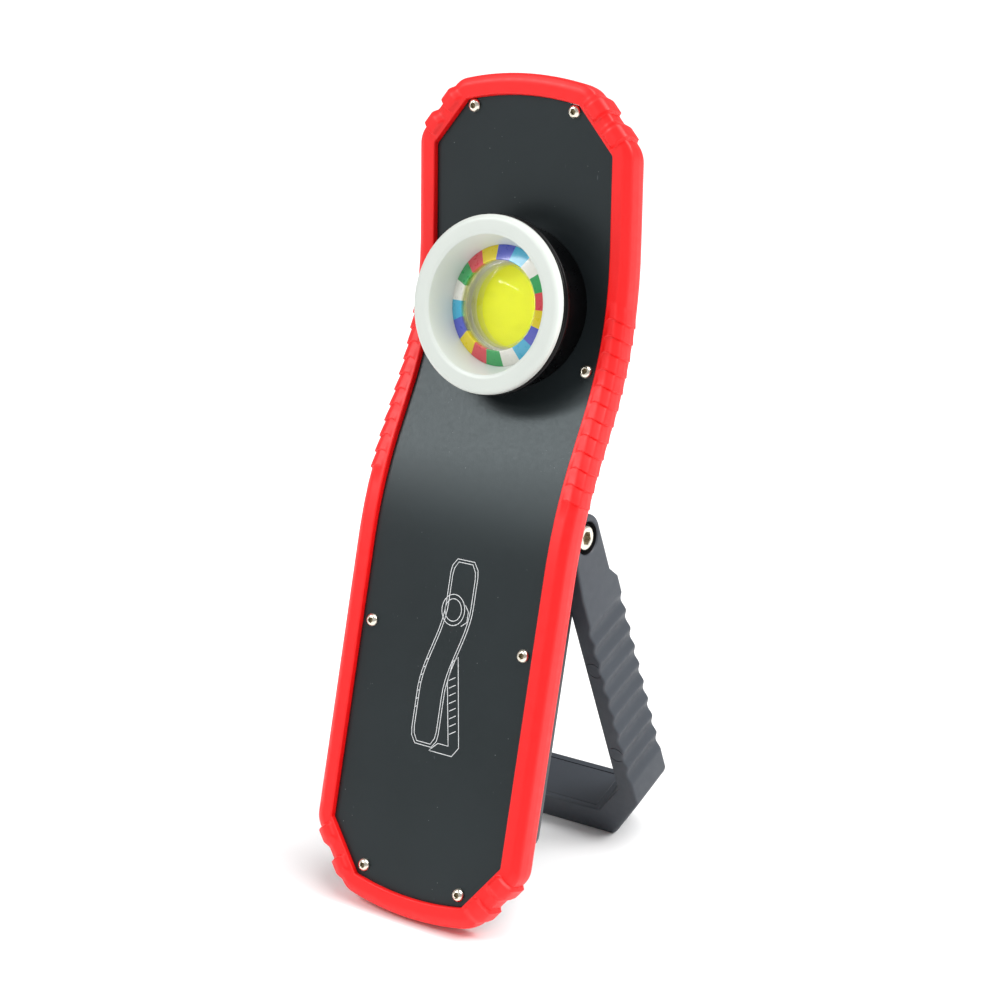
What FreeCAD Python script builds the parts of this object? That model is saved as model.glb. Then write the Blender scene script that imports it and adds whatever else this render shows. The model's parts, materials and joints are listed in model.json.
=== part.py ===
import FreeCAD, Part
import math
import operator
import os

import Sketcher
from FreeCAD import Placement, Rotation, Vector

# A hand-held work light: an S-shaped body with a rubber bumper, a sliding lens head
# and a folding stand with a magnetic foot. Lengths are millimetres, angles degrees.
#
# Body frame: X across, Y back into the body, Z up along the straight lower half.
# The flat lower part of the front panel lies in Y = 0.
# Head frame: Z outward along the lens axis, Z = 0 at the front of the bezel.
# Stand frame: pivot on X through the origin, arms along -Z, panel side towards -Y.

SIZES = {
    "panel_half": 30.0,
    "panel_thick": 1.5,
    "panel_foot": -42.0,
    "panel_head": 179.5,
    "corner_half": 18.9,
    "corner_foot_rise": 14.0,
    "corner_head_drop": 12.5,
    "end_bow": 2.0,
    "straight_top": 53.0,
    "lower_bend": 120.0,
    "lower_bend_angle": 15.5,
    "link_length": 12.7,
    "upper_bend": 90.0,
    "head_end_angle": 13.0,
    "bumper_width": 6.0,
    "bumper_proud": 1.6,
    "bumper_deep": 5.95,
    "bumper_round": 1.4,
    "skirt_start": 4.1,
    "flange_width": 1.4,
    "flange_back": 3.0,
    "shell_inset": 2.6,
    "shell_wall": 2.0,
    "shell_deep": 22.0,
    "shell_deep_head": 14.0,
    "shell_foot": -34.3,
    "shell_foot_cut": 3.0,
    "boss_radius": 2.4,
    "boss_back": 9.0,
    "lean": 18.7,
    "screw_end_x": 16.8,
    "screw_side_x": 26.4,
    "screw_foot_z": -39.0,
    "screw_low_z": 30.2,
    "screw_high_z": 109.0,
    "screw_head_z": 178.0,
    "screw_thread": 0.8,
    "screw_head_radius": 1.9,
    "screw_head_tall": 1.3,
    "screw_lift": 0.02,
    "screw_socket": 0.75,
    "screw_short": 2.4,
    "screw_long": 8.0,
    "head_y": -5.4,
    "head_z": 123.2,
    "head_nod": 4.0,
    "bezel_radius": 24.75,
    "bowl_mouth": 19.3,
    "bowl_floor": 16.9,
    "bowl_deep": 8.0,
    "rim_thick": 2.6,
    "sleeve_flange_end": 5.4,
    "sleeve_radius": 20.35,
    "sleeve_bore": 18.9,
    "sleeve_end": 15.2,
    "sleeve_cone": 8.0,
    "ring_bore": 12.6,
    "ring_rise": 6.6,
    "ring_back": 9.4,
    "lens_dome": 12.4,
    "lens_top": 5.6,
    "lens_edge": 7.2,
    "lens_flat": 8.2,
    "lens_bore": 11.4,
    "lens_back": 10.3,
    "lens_flange": 15.2,
    "holder_back": 11.6,
    "barrel_radius": 23.0,
    "barrel_bore": 20.6,
    "barrel_front": 5.8,
    "barrel_flange_front": 19.9,
    "barrel_back": 21.4,
    "barrel_flange": 24.8,
    "cob_radius": 11.6,
    "cob_front": 12.6,
    "board_front": 13.1,
    "board_back": 14.3,
    "board_radius": 15.2,
    "sink_radius": 19.0,
    "sink_plate_back": 24.0,
    "sink_back": 26.6,
    "pivot_y": 12.3,
    "pivot_z": 64.1,
    "arm_inside": 27.8,
    "arm_outside": 33.6,
    "arm_front": 8.6,
    "arm_rear": 9.0,
    "arm_neck": 6.3,
    "arm_top": 6.9,
    "neck_long": 15.0,
    "notch_end": 19.5,
    "foot_reach": 108.8,
    "foot_thick": 9.4,
    "foot_round": 4.0,
    "foot_edge": 1.5,
    "foot_corner_x": 12.0,
    "foot_corner_z": 16.0,
    "gusset_x": 9.4,
    "gusset_z": 11.5,
    "gusset_gap": 0.6,
    "pivot_bore": 2.55,
    "pivot_shoulder": 2.5,
    "pivot_head": 3.5,
    "pivot_head_tall": 2.2,
    "counterbore": 4.7,
    "counterbore_deep": 2.6,
    "magnet_radius": 6.0,
    "magnet_thick": 6.0,
    "magnet_x": 9.0,
    "cover_half": 16.7,
    "cover_deep": 14.0,
    "cover_thick": 1.5,
    "cell_radius": 9.0,
    "cell_long": 65.0,
    "cell_foot": -29.4,
    "button_radius": 6.0,
    "button_z": 82.0,
    "usb_z": 46.0,
    "usb_half": 4.5,
    "usb_tall": 3.4,
    "flap_half": 8.0,
    "flap_tall": 10.0,
    "flap_thick": 1.2,
    "light_x": 12.0,
    "light_radius": 0.95,
    "light_rise": 2.0,
    "light_long": 5.6,
    "control_foot": 37.0,
    "control_long": 54.0,
    "control_half": 11.0,
    "control_thick": 1.2,
    "control_depth": 9.2,
    "socket_long": 8.0,
    "contact_half": 4.0,
    "contact_thick": 0.4,
    "lead_radius": 0.6,
    "button_proud": 1.0,
    "button_collar": 1.0,
}

# ---------------------------------------------------------------- sizes and sheet

doc = FreeCAD.newDocument("work_light")
sheet = doc.addObject("Spreadsheet::Sheet", "sizes")
for row, (name, value) in enumerate(SIZES.items(), start=1):
    sheet.set(f"A{row}", name)
    sheet.set(f"B{row}", str(value))
    sheet.setAlias(f"B{row}", name)
doc.recompute()

SIGNS = {"+": operator.add, "-": operator.sub, "*": operator.mul, "/": operator.truediv}


class Size:
    """A number that remembers the spreadsheet expression it comes from."""

    def __init__(self, value, text=None):
        self.value = float(value)
        self.text = text if text else repr(float(value))

    def __float__(self):
        return self.value

    def __add__(self, other):
        return combined(self, "+", other)

    def __radd__(self, other):
        return combined(other, "+", self)

    def __sub__(self, other):
        return combined(self, "-", other)

    def __rsub__(self, other):
        return combined(other, "-", self)

    def __mul__(self, other):
        return combined(self, "*", other)

    def __rmul__(self, other):
        return combined(other, "*", self)

    def __truediv__(self, other):
        return combined(self, "/", other)

    def __neg__(self):
        return combined(0.0, "-", self)


def as_size(value):
    return value if isinstance(value, Size) else Size(value)


def combined(left, sign, right):
    left = as_size(left)
    right = as_size(right)
    return Size(SIGNS[sign](left.value, right.value), f"({left.text} {sign} {right.text})")


class Sizes:
    """The sheet's cells by name: d.panel_half is a Size."""

    def __getattr__(self, name):
        return Size(sheet.get(name), f"sizes.{name}")


d = Sizes()

ALONG_X = Rotation(Vector(1, 1, 1), 120)
UPRIGHT = Rotation(Vector(1, 0, 0), 90)
FACING_X = Rotation(Vector(0, 1, 0), 90)
FACING_REAR = Rotation(Vector(1, 0, 0), -90)


def vec(x, y, z):
    return Vector(float(x), float(y), float(z))


def bind(thing, **sizes):
    """Set size properties and tie each one to its cells."""
    for name, size in sizes.items():
        setattr(thing, name, float(size))
        thing.setExpression(name, size.text)
    return thing


def move(thing, x=0.0, y=0.0, z=0.0, turn=None):
    """Place an object by sizes, with its position tied to the sheet."""
    thing.Placement = Placement(vec(x, y, z), turn if turn else Rotation())
    for axis, size in (("x", x), ("y", y), ("z", z)):
        if isinstance(size, Size):
            thing.setExpression(f"Placement.Base.{axis}", size.text)
    return thing


# ---------------------------------------------------------------- Part primitives


def box(name, x, y, z, across, deep, tall):
    """A box from its low corner and its three sizes."""
    made = doc.addObject("Part::Box", name)
    bind(made, Length=as_size(across), Width=as_size(deep), Height=as_size(tall))
    return move(made, x, y, z)


def rod(name, radius, long, x=0.0, y=0.0, z=0.0, turn=None):
    """A cylinder whose base centre and direction are given."""
    made = doc.addObject("Part::Cylinder", name)
    bind(made, Radius=as_size(radius), Height=as_size(long))
    return move(made, x, y, z, turn)


def joined(name, shapes):
    made = doc.addObject("Part::MultiFuse", name)
    made.Shapes = shapes
    return made


def common(name, shapes):
    made = doc.addObject("Part::MultiCommon", name)
    made.Shapes = shapes
    return made


def cut(name, base, tool):
    made = doc.addObject("Part::Cut", name)
    made.Base = base
    made.Tool = tool
    return made


def grouped(name, shapes):
    made = doc.addObject("Part::Compound", name)
    made.Links = shapes
    return made


# ---------------------------------------------------------------- PartDesign helpers


def new_body(name):
    return doc.addObject("PartDesign::Body", name)


def new_sketch(body, role, name, offset=None):
    """A sketch on one of the body's own origin planes."""
    sketch = body.newObject("Sketcher::SketchObject", name)
    plane = next(item for item in body.Origin.OriginFeatures if item.Role == role)
    sketch.AttachmentSupport = [(plane, "")]
    sketch.MapMode = "FlatFace"
    if offset is not None:
        sketch.AttachmentOffset = Placement(vec(0, 0, offset), Rotation())
        sketch.setExpression("AttachmentOffset.Base.z", as_size(offset).text)
    return sketch


def pin_point(sketch, edge, end, x, y):
    """Hold one end of an edge at a distance from the sketch's origin."""
    for kind, axis, size in (("DistanceX", -2, as_size(x)), ("DistanceY", -1, as_size(y))):
        if float(size) == 0.0:
            sketch.addConstraint(Sketcher.Constraint("PointOnObject", edge, end, axis))
            continue
        place = sketch.addConstraint(
            Sketcher.Constraint(kind, -1, 1, edge, end, float(size)))
        sketch.setExpression(f"Constraints[{place}]", size.text)


def draw_polygon(sketch, points):
    """A closed outline with every corner tied to the sheet."""
    spots = [vec(x, y, 0) for x, y in points]
    first = sketch.GeometryCount
    for start, end in zip(spots, spots[1:] + spots[:1]):
        sketch.addGeometry(Part.LineSegment(start, end))
    count = len(spots)
    for place in range(count):
        after = first + (place + 1) % count
        sketch.addConstraint(Sketcher.Constraint("Coincident", first + place, 2, after, 1))
    for place, (x, y) in enumerate(points):
        pin_point(sketch, first + place, 1, x, y)


def draw_rectangle(sketch, x_low, y_low, x_high, y_high):
    draw_polygon(sketch, [(x_low, y_low), (x_high, y_low), (x_high, y_high), (x_low, y_high)])


def draw_circle(sketch, x, y, radius):
    edge = sketch.addGeometry(Part.Circle(vec(x, y, 0), Vector(0, 0, 1), float(radius)))
    pin_point(sketch, edge, 3, x, y)
    place = sketch.addConstraint(Sketcher.Constraint("Radius", edge, float(radius)))
    sketch.setExpression(f"Constraints[{place}]", as_size(radius).text)


def add_pad(body, sketch, length, symmetric=False, backwards=False):
    pad = body.newObject("PartDesign::Pad", f"{sketch.Name}_pad")
    pad.Profile = sketch
    bind(pad, Length=as_size(length))
    pad.SideType = "Symmetric" if symmetric else "One side"
    pad.Reversed = backwards
    return pad


def add_pocket(body, sketch, length, symmetric=False, backwards=False):
    """A pocket that must take something away."""
    before = body.Tip.Shape.Volume
    pocket = body.newObject("PartDesign::Pocket", f"{sketch.Name}_pocket")
    pocket.Profile = sketch
    bind(pocket, Length=as_size(length))
    pocket.SideType = "Symmetric" if symmetric else "One side"
    pocket.Reversed = backwards
    doc.recompute()
    if pocket.Shape.Volume >= before - 0.001:
        raise RuntimeError(f"{pocket.Name} cuts nothing")
    return pocket


def turned(name, profile):
    """A body of revolution about Z from (radius, height) corners."""
    body = new_body(name)
    sketch = new_sketch(body, "XZ_Plane", f"{name}_profile")
    draw_polygon(sketch, profile)
    spin = body.newObject("PartDesign::Revolution", f"{name}_turn")
    spin.Profile = sketch
    spin.ReferenceAxis = (sketch, ["V_Axis"])
    spin.Angle = 360
    doc.recompute()
    return body


def ring(name, bore, radius, low, high):
    return turned(name, [(bore, low), (radius, low), (radius, high), (bore, high)])


def disc(name, radius, low, high):
    return turned(name, [(0.0, low), (radius, low), (radius, high), (0.0, high)])


# ---------------------------------------------------------------- the S-shaped side view


def unit(angle):
    """Direction up the panel where it leans back by an angle, as (y, z)."""
    return math.sin(math.radians(angle)), math.cos(math.radians(angle))


def bends():
    """Centres of the two bends, as (y, z)."""
    lean_y, lean_z = unit(float(d.lower_bend_angle))
    low = (float(d.lower_bend), float(d.straight_top))
    reach = float(d.lower_bend)
    end_y = low[0] - reach * lean_z + float(d.link_length) * lean_y
    end_z = low[1] + reach * lean_y + float(d.link_length) * lean_z
    wide = float(d.upper_bend)
    return low, (end_y - wide * lean_z, end_z + wide * lean_y)


def bend_point(centre, radius, angle, side):
    """Point of a bend where the panel leans back by an angle."""
    lean_y, lean_z = unit(angle)
    return Vector(centre[0] + side * radius * lean_z, centre[1] - side * radius * lean_y, 0)


def side_curve(depth, z_low, z_high):
    """The panel's side view at a depth behind its front face, from the bottom up."""
    depth = float(depth)
    low, high = bends()
    near = float(d.lower_bend) - depth
    far = float(d.upper_bend) + depth
    lean = float(d.lower_bend_angle)
    tilt = float(d.head_end_angle)
    foot = Vector(depth, float(z_low), 0)
    corners = [bend_point(low, near, angle, -1) for angle in (0.0, lean / 2, lean)]
    crests = [bend_point(high, far, angle, 1) for angle in (lean, (lean - tilt) / 2, -tilt)]
    rise = (float(z_high) - crests[2].y) / unit(tilt)[1]
    top = crests[2] + Vector(-unit(tilt)[0], unit(tilt)[1], 0) * rise
    return [
        Part.LineSegment(foot, corners[0]),
        Part.Arc(*corners),
        Part.LineSegment(corners[2], crests[0]),
        Part.Arc(*crests),
        Part.LineSegment(crests[2], top),
    ]


def rear_curve(inset):
    """The rear shell's back: flat below, following the upper bend above."""
    back = float(d.shell_deep) - inset
    far = float(d.upper_bend) + float(d.shell_deep_head) - inset
    tilt = float(d.head_end_angle)
    centre = bends()[1]
    meet_lean = math.degrees(math.acos((back - centre[0]) / far))
    crests = [bend_point(centre, far, angle, 1) for angle in (meet_lean, 0.0, -tilt)]
    rise = (float(d.panel_head) + 10.0 - crests[2].y) / unit(tilt)[1]
    top = crests[2] + Vector(-unit(tilt)[0], unit(tilt)[1], 0) * rise
    foot_z = float(d.shell_foot) + inset
    cut_back = float(d.shell_foot_cut)
    sole = Vector(back - cut_back, foot_z, 0)
    heel = Vector(back, foot_z + cut_back, 0)
    return [
        Part.LineSegment(sole, heel),
        Part.LineSegment(heel, crests[0]),
        Part.Arc(*crests),
        Part.LineSegment(crests[2], top),
    ]


def ends_of(edges):
    return edges[0].StartPoint, edges[-1].EndPoint


def profile_slab(name, front, back, half):
    """The solid between two side curves, centred across the body."""
    sketch = doc.addObject("Sketcher::SketchObject", f"{name}_side")
    sketch.Placement = Placement(Vector(), ALONG_X)
    low_front, high_front = ends_of(front)
    low_back, high_back = ends_of(back)
    caps = [Part.LineSegment(low_front, low_back), Part.LineSegment(high_front, high_back)]
    sketch.addGeometry(front + back + caps)
    slab = doc.addObject("Part::Extrusion", name)
    slab.Base = sketch
    slab.DirMode = "Normal"
    slab.Solid = True
    slab.Symmetric = True
    bind(slab, LengthFwd=as_size(half) * 2.0)
    return slab


def band(name, front, back, half):
    """A layer of the S between two depths, longer than the panel at both ends."""
    low = d.panel_foot - 20.0
    high = d.panel_head + 20.0
    return profile_slab(name, side_curve(front, low, high), side_curve(back, low, high), half)


def panel_point(z):
    """Depth and backward lean of the panel's front face at a height."""
    low, high = bends()
    lean = float(d.lower_bend_angle)
    tilt = float(d.head_end_angle)
    if z <= low[1]:
        return 0.0, 0.0
    if z <= bend_point(low, float(d.lower_bend), lean, -1).y:
        angle = math.asin((z - low[1]) / float(d.lower_bend))
        return bend_point(low, float(d.lower_bend), math.degrees(angle), -1).x, math.degrees(angle)
    end = bend_point(high, float(d.upper_bend), -tilt, 1)
    if z <= end.y:
        angle = math.degrees(math.asin((high[1] - z) / float(d.upper_bend)))
        return bend_point(high, float(d.upper_bend), angle, 1).x, angle
    return end.x - (z - end.y) * math.tan(math.radians(tilt)), -tilt


def on_panel(x, z):
    """A frame on the panel's face with Z out of the panel."""
    y, lean = panel_point(float(z))
    return Placement(vec(x, y, z), Rotation(Vector(1, 0, 0), 90.0 - lean))


# ---------------------------------------------------------------- the front outline


def outline_corners(grow):
    """Right-hand corners of the outline, from the bottom up, moved out by a distance."""
    half = float(d.corner_half)
    side = float(d.panel_half)
    foot = float(d.panel_foot)
    head = float(d.panel_head)
    spots = [
        Vector(half, foot, 0),
        Vector(side, foot + float(d.corner_foot_rise), 0),
        Vector(side, head - float(d.corner_head_drop), 0),
        Vector(half, head, 0),
    ]
    bow = 2.0 * float(d.end_bow) / half
    normals = [
        Vector(bow, -1, 0),
        Vector(float(d.corner_foot_rise), half - side, 0),
        Vector(1, 0, 0),
        Vector(float(d.corner_head_drop), side - half, 0),
        Vector(bow, 1, 0),
    ]
    for normal in normals:
        normal.normalize()
    moved = []
    for spot, before, after in zip(spots, normals, normals[1:]):
        moved.append(spot + (before + after) * (grow / (1.0 + before.dot(after))))
    return moved


def prism(name, grow):
    """The outline, grown by a distance, carried right through the body along Y."""
    right = outline_corners(float(grow))
    left = [Vector(-spot.x, spot.y, 0) for spot in right]
    foot = Vector(0, float(d.panel_foot - d.end_bow) - float(grow), 0)
    head = Vector(0, float(d.panel_head + d.end_bow) + float(grow), 0)
    sketch = doc.addObject("Sketcher::SketchObject", f"{name}_outline")
    sketch.Placement = Placement(Vector(), UPRIGHT)
    sketch.addGeometry([Part.Arc(left[0], foot, right[0])])
    sketch.addGeometry([Part.LineSegment(right[place], right[place + 1]) for place in range(3)])
    sketch.addGeometry([Part.Arc(right[3], head, left[3])])
    sketch.addGeometry([Part.LineSegment(left[place], left[place + 1]) for place in range(3)])
    solid = doc.addObject("Part::Extrusion", name)
    solid.Base = sketch
    solid.DirMode = "Normal"
    solid.Solid = True
    solid.Symmetric = True
    bind(solid, LengthFwd=d.panel_head)
    return solid


def layer(name, front, back, grow):
    """A layer of the S between two depths, inside the grown outline."""
    half = d.panel_half + d.bumper_width
    return common(name, [band(f"{name}_band", front, back, half), prism(f"{name}_prism", grow)])


# ---------------------------------------------------------------- screws in the panel


def panel_screw_places():
    """(x, z, screw length) of the eight panel screws."""
    rows = [
        (d.screw_end_x, d.screw_foot_z, d.screw_short),
        (d.screw_side_x, d.screw_low_z, d.screw_long),
        (d.screw_side_x, d.screw_high_z, d.screw_long),
        (d.screw_end_x, d.screw_head_z, d.screw_short),
    ]
    return [(x * side, z, long) for x, z, long in rows for side in (-1.0, 1.0)]


def panel_screws():
    """Button-head screws with a hex socket."""
    made = []
    for place, (x, z, long) in enumerate(panel_screw_places()):
        name = f"panel_screw_{place + 1}"
        tall = d.screw_head_tall
        head = turned(f"{name}_blank", [
            (0.0, -long), (d.screw_thread, -long), (d.screw_thread, d.screw_lift),
            (d.screw_head_radius, d.screw_lift), (d.screw_head_radius, tall * 0.45),
            (d.screw_head_radius * 0.62, tall), (0.0, tall)])
        socket = doc.addObject("Part::Prism", f"{name}_socket")
        socket.Polygon = 6
        bind(socket, Circumradius=d.screw_socket, Height=tall)
        move(socket, 0.0, 0.0, tall * 0.35)
        screw = cut(name, head, socket)
        screw.Placement = on_panel(x, z)
        made.append(screw)
    return grouped("panel_screws", made)


def screw_holes(name, radius, back=None):
    """Holes for the panel screws, as rods to take away: to one depth, or as deep as each screw."""
    made = []
    for place, (x, z, long) in enumerate(panel_screw_places()):
        hole = doc.addObject("Part::Cylinder", f"{name}_{place + 1}")
        deep = as_size(long if back is None else back)
        bind(hole, Radius=as_size(radius), Height=deep + 2.0)
        drop = Placement(vec(0, 0, -deep), Rotation())
        hole.Placement = on_panel(x, z).multiply(drop)
        made.append(hole)
    return made


# ---------------------------------------------------------------- panel, bumper, shell


def head_frame():
    return Placement(vec(0, d.head_y, d.head_z), Rotation(Vector(1, 0, 0), 90 + float(d.head_nod)))


def head_bore(name, radius):
    """A rod on the lens axis through the panel."""
    bore = rod(name, radius, 40.0)
    bore.Placement = head_frame().multiply(Placement(Vector(0, 0, -30), Rotation()))
    return bore


def front_panel():
    blank = layer("panel_blank", 0.0, d.panel_thick, -0.05)
    holes = screw_holes("panel_hole", d.screw_thread + 0.1, d.panel_thick + 1.0)
    holes.append(head_bore("panel_head_hole", d.barrel_radius + 0.05))
    return cut("front_panel", blank, joined("panel_holes", holes))


def bumper_frame():
    """Rubber frame: a proud lip round the panel and a thin skirt behind the flange."""
    width = d.bumper_width
    soft = d.bumper_round
    whole = joined("bumper_whole", [
        layer("bumper_lip", -d.bumper_proud, 0.0, width - soft * 1.3),
        layer("bumper_crown", -d.bumper_proud + soft * 0.6, 0.0, width - soft * 0.5),
        layer("bumper_main", 0.0, d.bumper_deep - soft, width),
        layer("bumper_heel", d.bumper_deep - soft, d.bumper_deep, width - soft * 0.35),
    ])
    hollow = joined("bumper_hollow", [
        layer("bumper_window", -d.bumper_proud - 3.0, d.panel_thick, 0.0),
        layer("bumper_seat", d.panel_thick, d.flange_back, d.flange_width),
        layer("bumper_rear", d.flange_back, d.bumper_deep + 3.0, d.skirt_start),
    ])
    return cut("bumper_frame", whole, hollow)


def corner_blocks(name, inset):
    """Blocks outside the shell's lower corners, where the folded stand's gussets lie."""
    slope = math.atan2(float(d.gusset_z), float(d.gusset_x))
    gap = float(d.gusset_gap) + float(inset)
    long = 80.0
    start = Vector(float(d.arm_inside) - gap * math.sin(slope), 0,
                   float(d.pivot_z - d.foot_reach + d.foot_thick + d.gusset_z)
                   + gap * math.cos(slope))
    made = []
    for side in (-1.0, 1.0):
        block = doc.addObject("Part::Box", f"{name}_{int(side) + 2}")
        bind(block, Length=Size(long), Width=Size(long), Height=Size(20.0))
        turn = Rotation(Vector(0, 1, 0), -side * math.degrees(slope))
        inward = Vector(-long / 2, -long / 2, -20.0)
        place = Placement(Vector(start.x * side, 0, start.z), turn)
        block.Placement = place.multiply(Placement(inward, Rotation()))
        made.append(block)
    return made


def shell_block(name, inset, front_depth):
    """The shell's outside, or its cavity when inset by the wall."""
    foot = d.shell_foot + inset
    front = side_curve(front_depth, foot, d.panel_head + 10.0)
    half = d.panel_half - d.shell_inset - inset
    solid = profile_slab(f"{name}_slab", front, rear_curve(float(inset)), half)
    whole = common(f"{name}_whole", [solid, prism(f"{name}_prism", -d.shell_inset - inset)])
    return cut(name, whole, joined(f"{name}_corners", corner_blocks(f"{name}_corner", inset)))


def screw_bosses():
    """Posts for the long panel screws, inside the side walls."""
    made = []
    for place, (x, z, long) in enumerate(panel_screw_places()):
        if float(long) < float(d.screw_long):
            continue
        shift = 1.4 if float(x) < 0 else -1.4
        boss = doc.addObject("Part::Cylinder", f"boss_{place + 1}")
        bind(boss, Radius=d.boss_radius, Height=d.boss_back - d.flange_back)
        drop = Placement(vec(shift, 0, -d.boss_back), Rotation())
        boss.Placement = on_panel(x, z).multiply(drop)
        made.append(boss)
    return made


def pivot_bosses():
    """Thick pads inside the side walls that hold the brass inserts."""
    inner = d.panel_half - d.shell_inset - 8.0
    made = []
    for side, turn in ((-1.0, -90), (1.0, 90)):
        boss = rod(f"pivot_boss_{turn + 90}", d.pivot_head + 1.5, 7.0)
        base = vec(inner * side, d.pivot_y, d.pivot_z)
        boss.Placement = Placement(base, Rotation(Vector(0, 1, 0), turn))
        made.append(boss)
    return made


def across_rod(name, radius, half):
    """A rod along X through both pivots."""
    made = rod(name, radius, as_size(half) * 2.0)
    base = vec(-as_size(half), d.pivot_y, d.pivot_z)
    made.Placement = Placement(base, FACING_X)
    return made


def rear_shell():
    """Rear half of the case with its flange, posts and openings."""
    solids = [
        shell_block("shell_outside", Size(0.0), d.panel_thick),
        layer("shell_flange", d.panel_thick, d.flange_back, d.flange_width - 0.05),
    ]
    cavity = shell_block("shell_cavity", d.shell_wall, Size(0.0))
    hollow = cut("shell_hollow", joined("shell_solid", solids), cavity)
    filled = joined("shell_with_posts", [hollow] + screw_bosses() + pivot_bosses())
    holes = screw_holes("shell_hole", d.screw_thread)
    back = d.shell_deep
    holes.append(across_rod("shell_pivot_hole", d.pivot_head - 0.7, d.panel_half))
    holes.append(rod("shell_button_hole", d.button_radius + 0.2, 6.0, 0.0, back - 3.0,
                     d.button_z, FACING_REAR))
    holes.append(box("shell_usb_hole", -d.usb_half - 0.2, back - 3.0, d.usb_z - 0.2,
                     d.usb_half * 2.0 + 0.4, 6.0, d.usb_tall + 0.4))
    flap_foot = d.usb_z + d.usb_tall / 2.0 - d.flap_tall / 2.0
    holes.append(box("shell_flap_recess", -d.flap_half - 0.3, back - d.flap_thick - 0.1,
                     flap_foot - 0.3, d.flap_half * 2.0 + 0.6, 3.0, d.flap_tall + 0.6))
    holes.append(rod("shell_light_hole", d.light_radius + 0.05, 6.0, d.light_x, back - 3.0,
                     d.usb_z + d.light_rise, FACING_REAR))
    return cut("rear_shell", filled, joined("shell_holes", holes))


# ---------------------------------------------------------------- the lens head


def bezel():
    """White rim with a funnel that carries the colour ring."""
    rim = d.bezel_radius
    mouth = d.bowl_mouth
    floor = d.bowl_floor
    return turned("bezel", [
        (rim, -d.rim_thick), (rim, -0.6), (rim - 0.6, 0.0), (mouth + 1.0, 0.0),
        (mouth + 0.2, -0.5), (mouth, -0.9), (floor, -d.bowl_deep), (floor, -d.ring_back),
        (floor + 0.9, -d.ring_back), (mouth + 0.6, -d.rim_thick)])


def focus_sleeve():
    """Grip flange behind the bezel and the tube that slides in the barrel."""
    flange = d.bezel_radius - 0.15
    tube = d.sleeve_radius
    bore = d.sleeve_bore
    groove = d.sleeve_end - 1.0
    return turned("focus_sleeve", [
        (d.bowl_mouth + 0.8, -d.rim_thick), (flange, -d.rim_thick),
        (flange, -d.sleeve_flange_end), (tube, -d.sleeve_flange_end),
        (tube, -groove + 1.4), (tube - 0.7, -groove + 1.4), (tube - 0.7, -groove),
        (tube, -groove), (tube, -d.sleeve_end), (bore, -d.sleeve_end), (bore, -d.sleeve_cone)])


def head_o_ring():
    """Rubber ring in the sleeve's groove that gives the slide its drag."""
    low = -d.sleeve_end + 1.0
    return ring("head_o_ring", d.sleeve_radius - 0.7, d.sleeve_radius + 0.15, low, low + 1.4)


def colour_ring():
    """Bevelled ring with printed colour fields round the lens."""
    return turned("colour_ring", [
        (d.bowl_floor - 0.02, -d.ring_back), (d.bowl_floor - 0.02, -d.bowl_deep - 0.4),
        (d.ring_bore, -d.ring_rise), (d.ring_bore, -d.ring_back)])


def lens():
    """Clear lens: a shallow dome over a flat back, on a rim with a flange."""
    body = new_body("lens")
    sketch = new_sketch(body, "XZ_Plane", "lens_profile")
    dome = float(d.lens_dome)
    top = -float(d.lens_top)
    shoulder = -float(d.lens_edge)
    foot = -float(d.ring_back)
    sag = top - shoulder
    radius = (dome * dome + sag * sag) / (2.0 * sag)
    lean = math.asin(dome / radius) / 2.0
    middle = Vector(radius * math.sin(lean), top - radius * (1 - math.cos(lean)), 0)
    back = -float(d.lens_back)
    flat = -float(d.lens_flat)
    edge = float(d.lens_flange)
    bore = float(d.lens_bore)
    spots = [
        Vector(dome, shoulder, 0), Vector(dome, foot, 0), Vector(edge, foot, 0),
        Vector(edge, back, 0), Vector(bore, back, 0), Vector(bore, flat, 0),
        Vector(0, flat, 0), Vector(0, top, 0),
    ]
    sketch.addGeometry([Part.Arc(spots[-1], middle, spots[0])])
    sketch.addGeometry([Part.LineSegment(start, end) for start, end in zip(spots, spots[1:])])
    spin = body.newObject("PartDesign::Revolution", "lens_turn")
    spin.Profile = sketch
    spin.ReferenceAxis = (sketch, ["V_Axis"])
    spin.Angle = 360
    doc.recompute()
    return body


def lens_holder():
    """White ring that clamps the lens in the sleeve."""
    return turned("lens_holder", [
        (d.ring_bore - 0.3, -d.holder_back), (d.sleeve_bore, -d.holder_back),
        (d.sleeve_bore, -d.lens_back + 0.9), (d.lens_flange + 0.02, -d.lens_back + 0.9),
        (d.lens_flange + 0.02, -d.lens_back), (d.ring_bore - 0.3, -d.lens_back)])


def head_barrel():
    """Fixed tube on the panel, with its flange behind it."""
    return turned("head_barrel", [
        (d.barrel_bore, -d.barrel_back), (d.barrel_flange, -d.barrel_back),
        (d.barrel_flange, -d.barrel_flange_front), (d.barrel_radius, -d.barrel_flange_front),
        (d.barrel_radius, -d.barrel_front), (d.barrel_bore, -d.barrel_front)])


def heat_sink():
    """Aluminium pedestal under the diode board, with a plate and fins behind."""
    body = turned("heat_sink", [
        (0.0, -d.sink_plate_back), (d.sink_radius + 3.0, -d.sink_plate_back),
        (d.sink_radius + 3.0, -d.barrel_back), (d.board_radius, -d.barrel_back),
        (d.board_radius, -d.board_back), (0.0, -d.board_back)])
    sketch = new_sketch(body, "XY_Plane", "fin_outline", -d.sink_plate_back)
    reach = d.sink_radius * 0.72
    for place in range(-3, 4):
        middle = d.sink_radius * (place * 0.2)
        draw_rectangle(sketch, middle - 0.7, -reach, middle + 0.7, reach)
    add_pad(body, sketch, d.sink_back - d.sink_plate_back, backwards=True)
    doc.recompute()
    return body


def cob_board():
    return disc("cob_board", d.board_radius, -d.board_back, -d.board_front)


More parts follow.
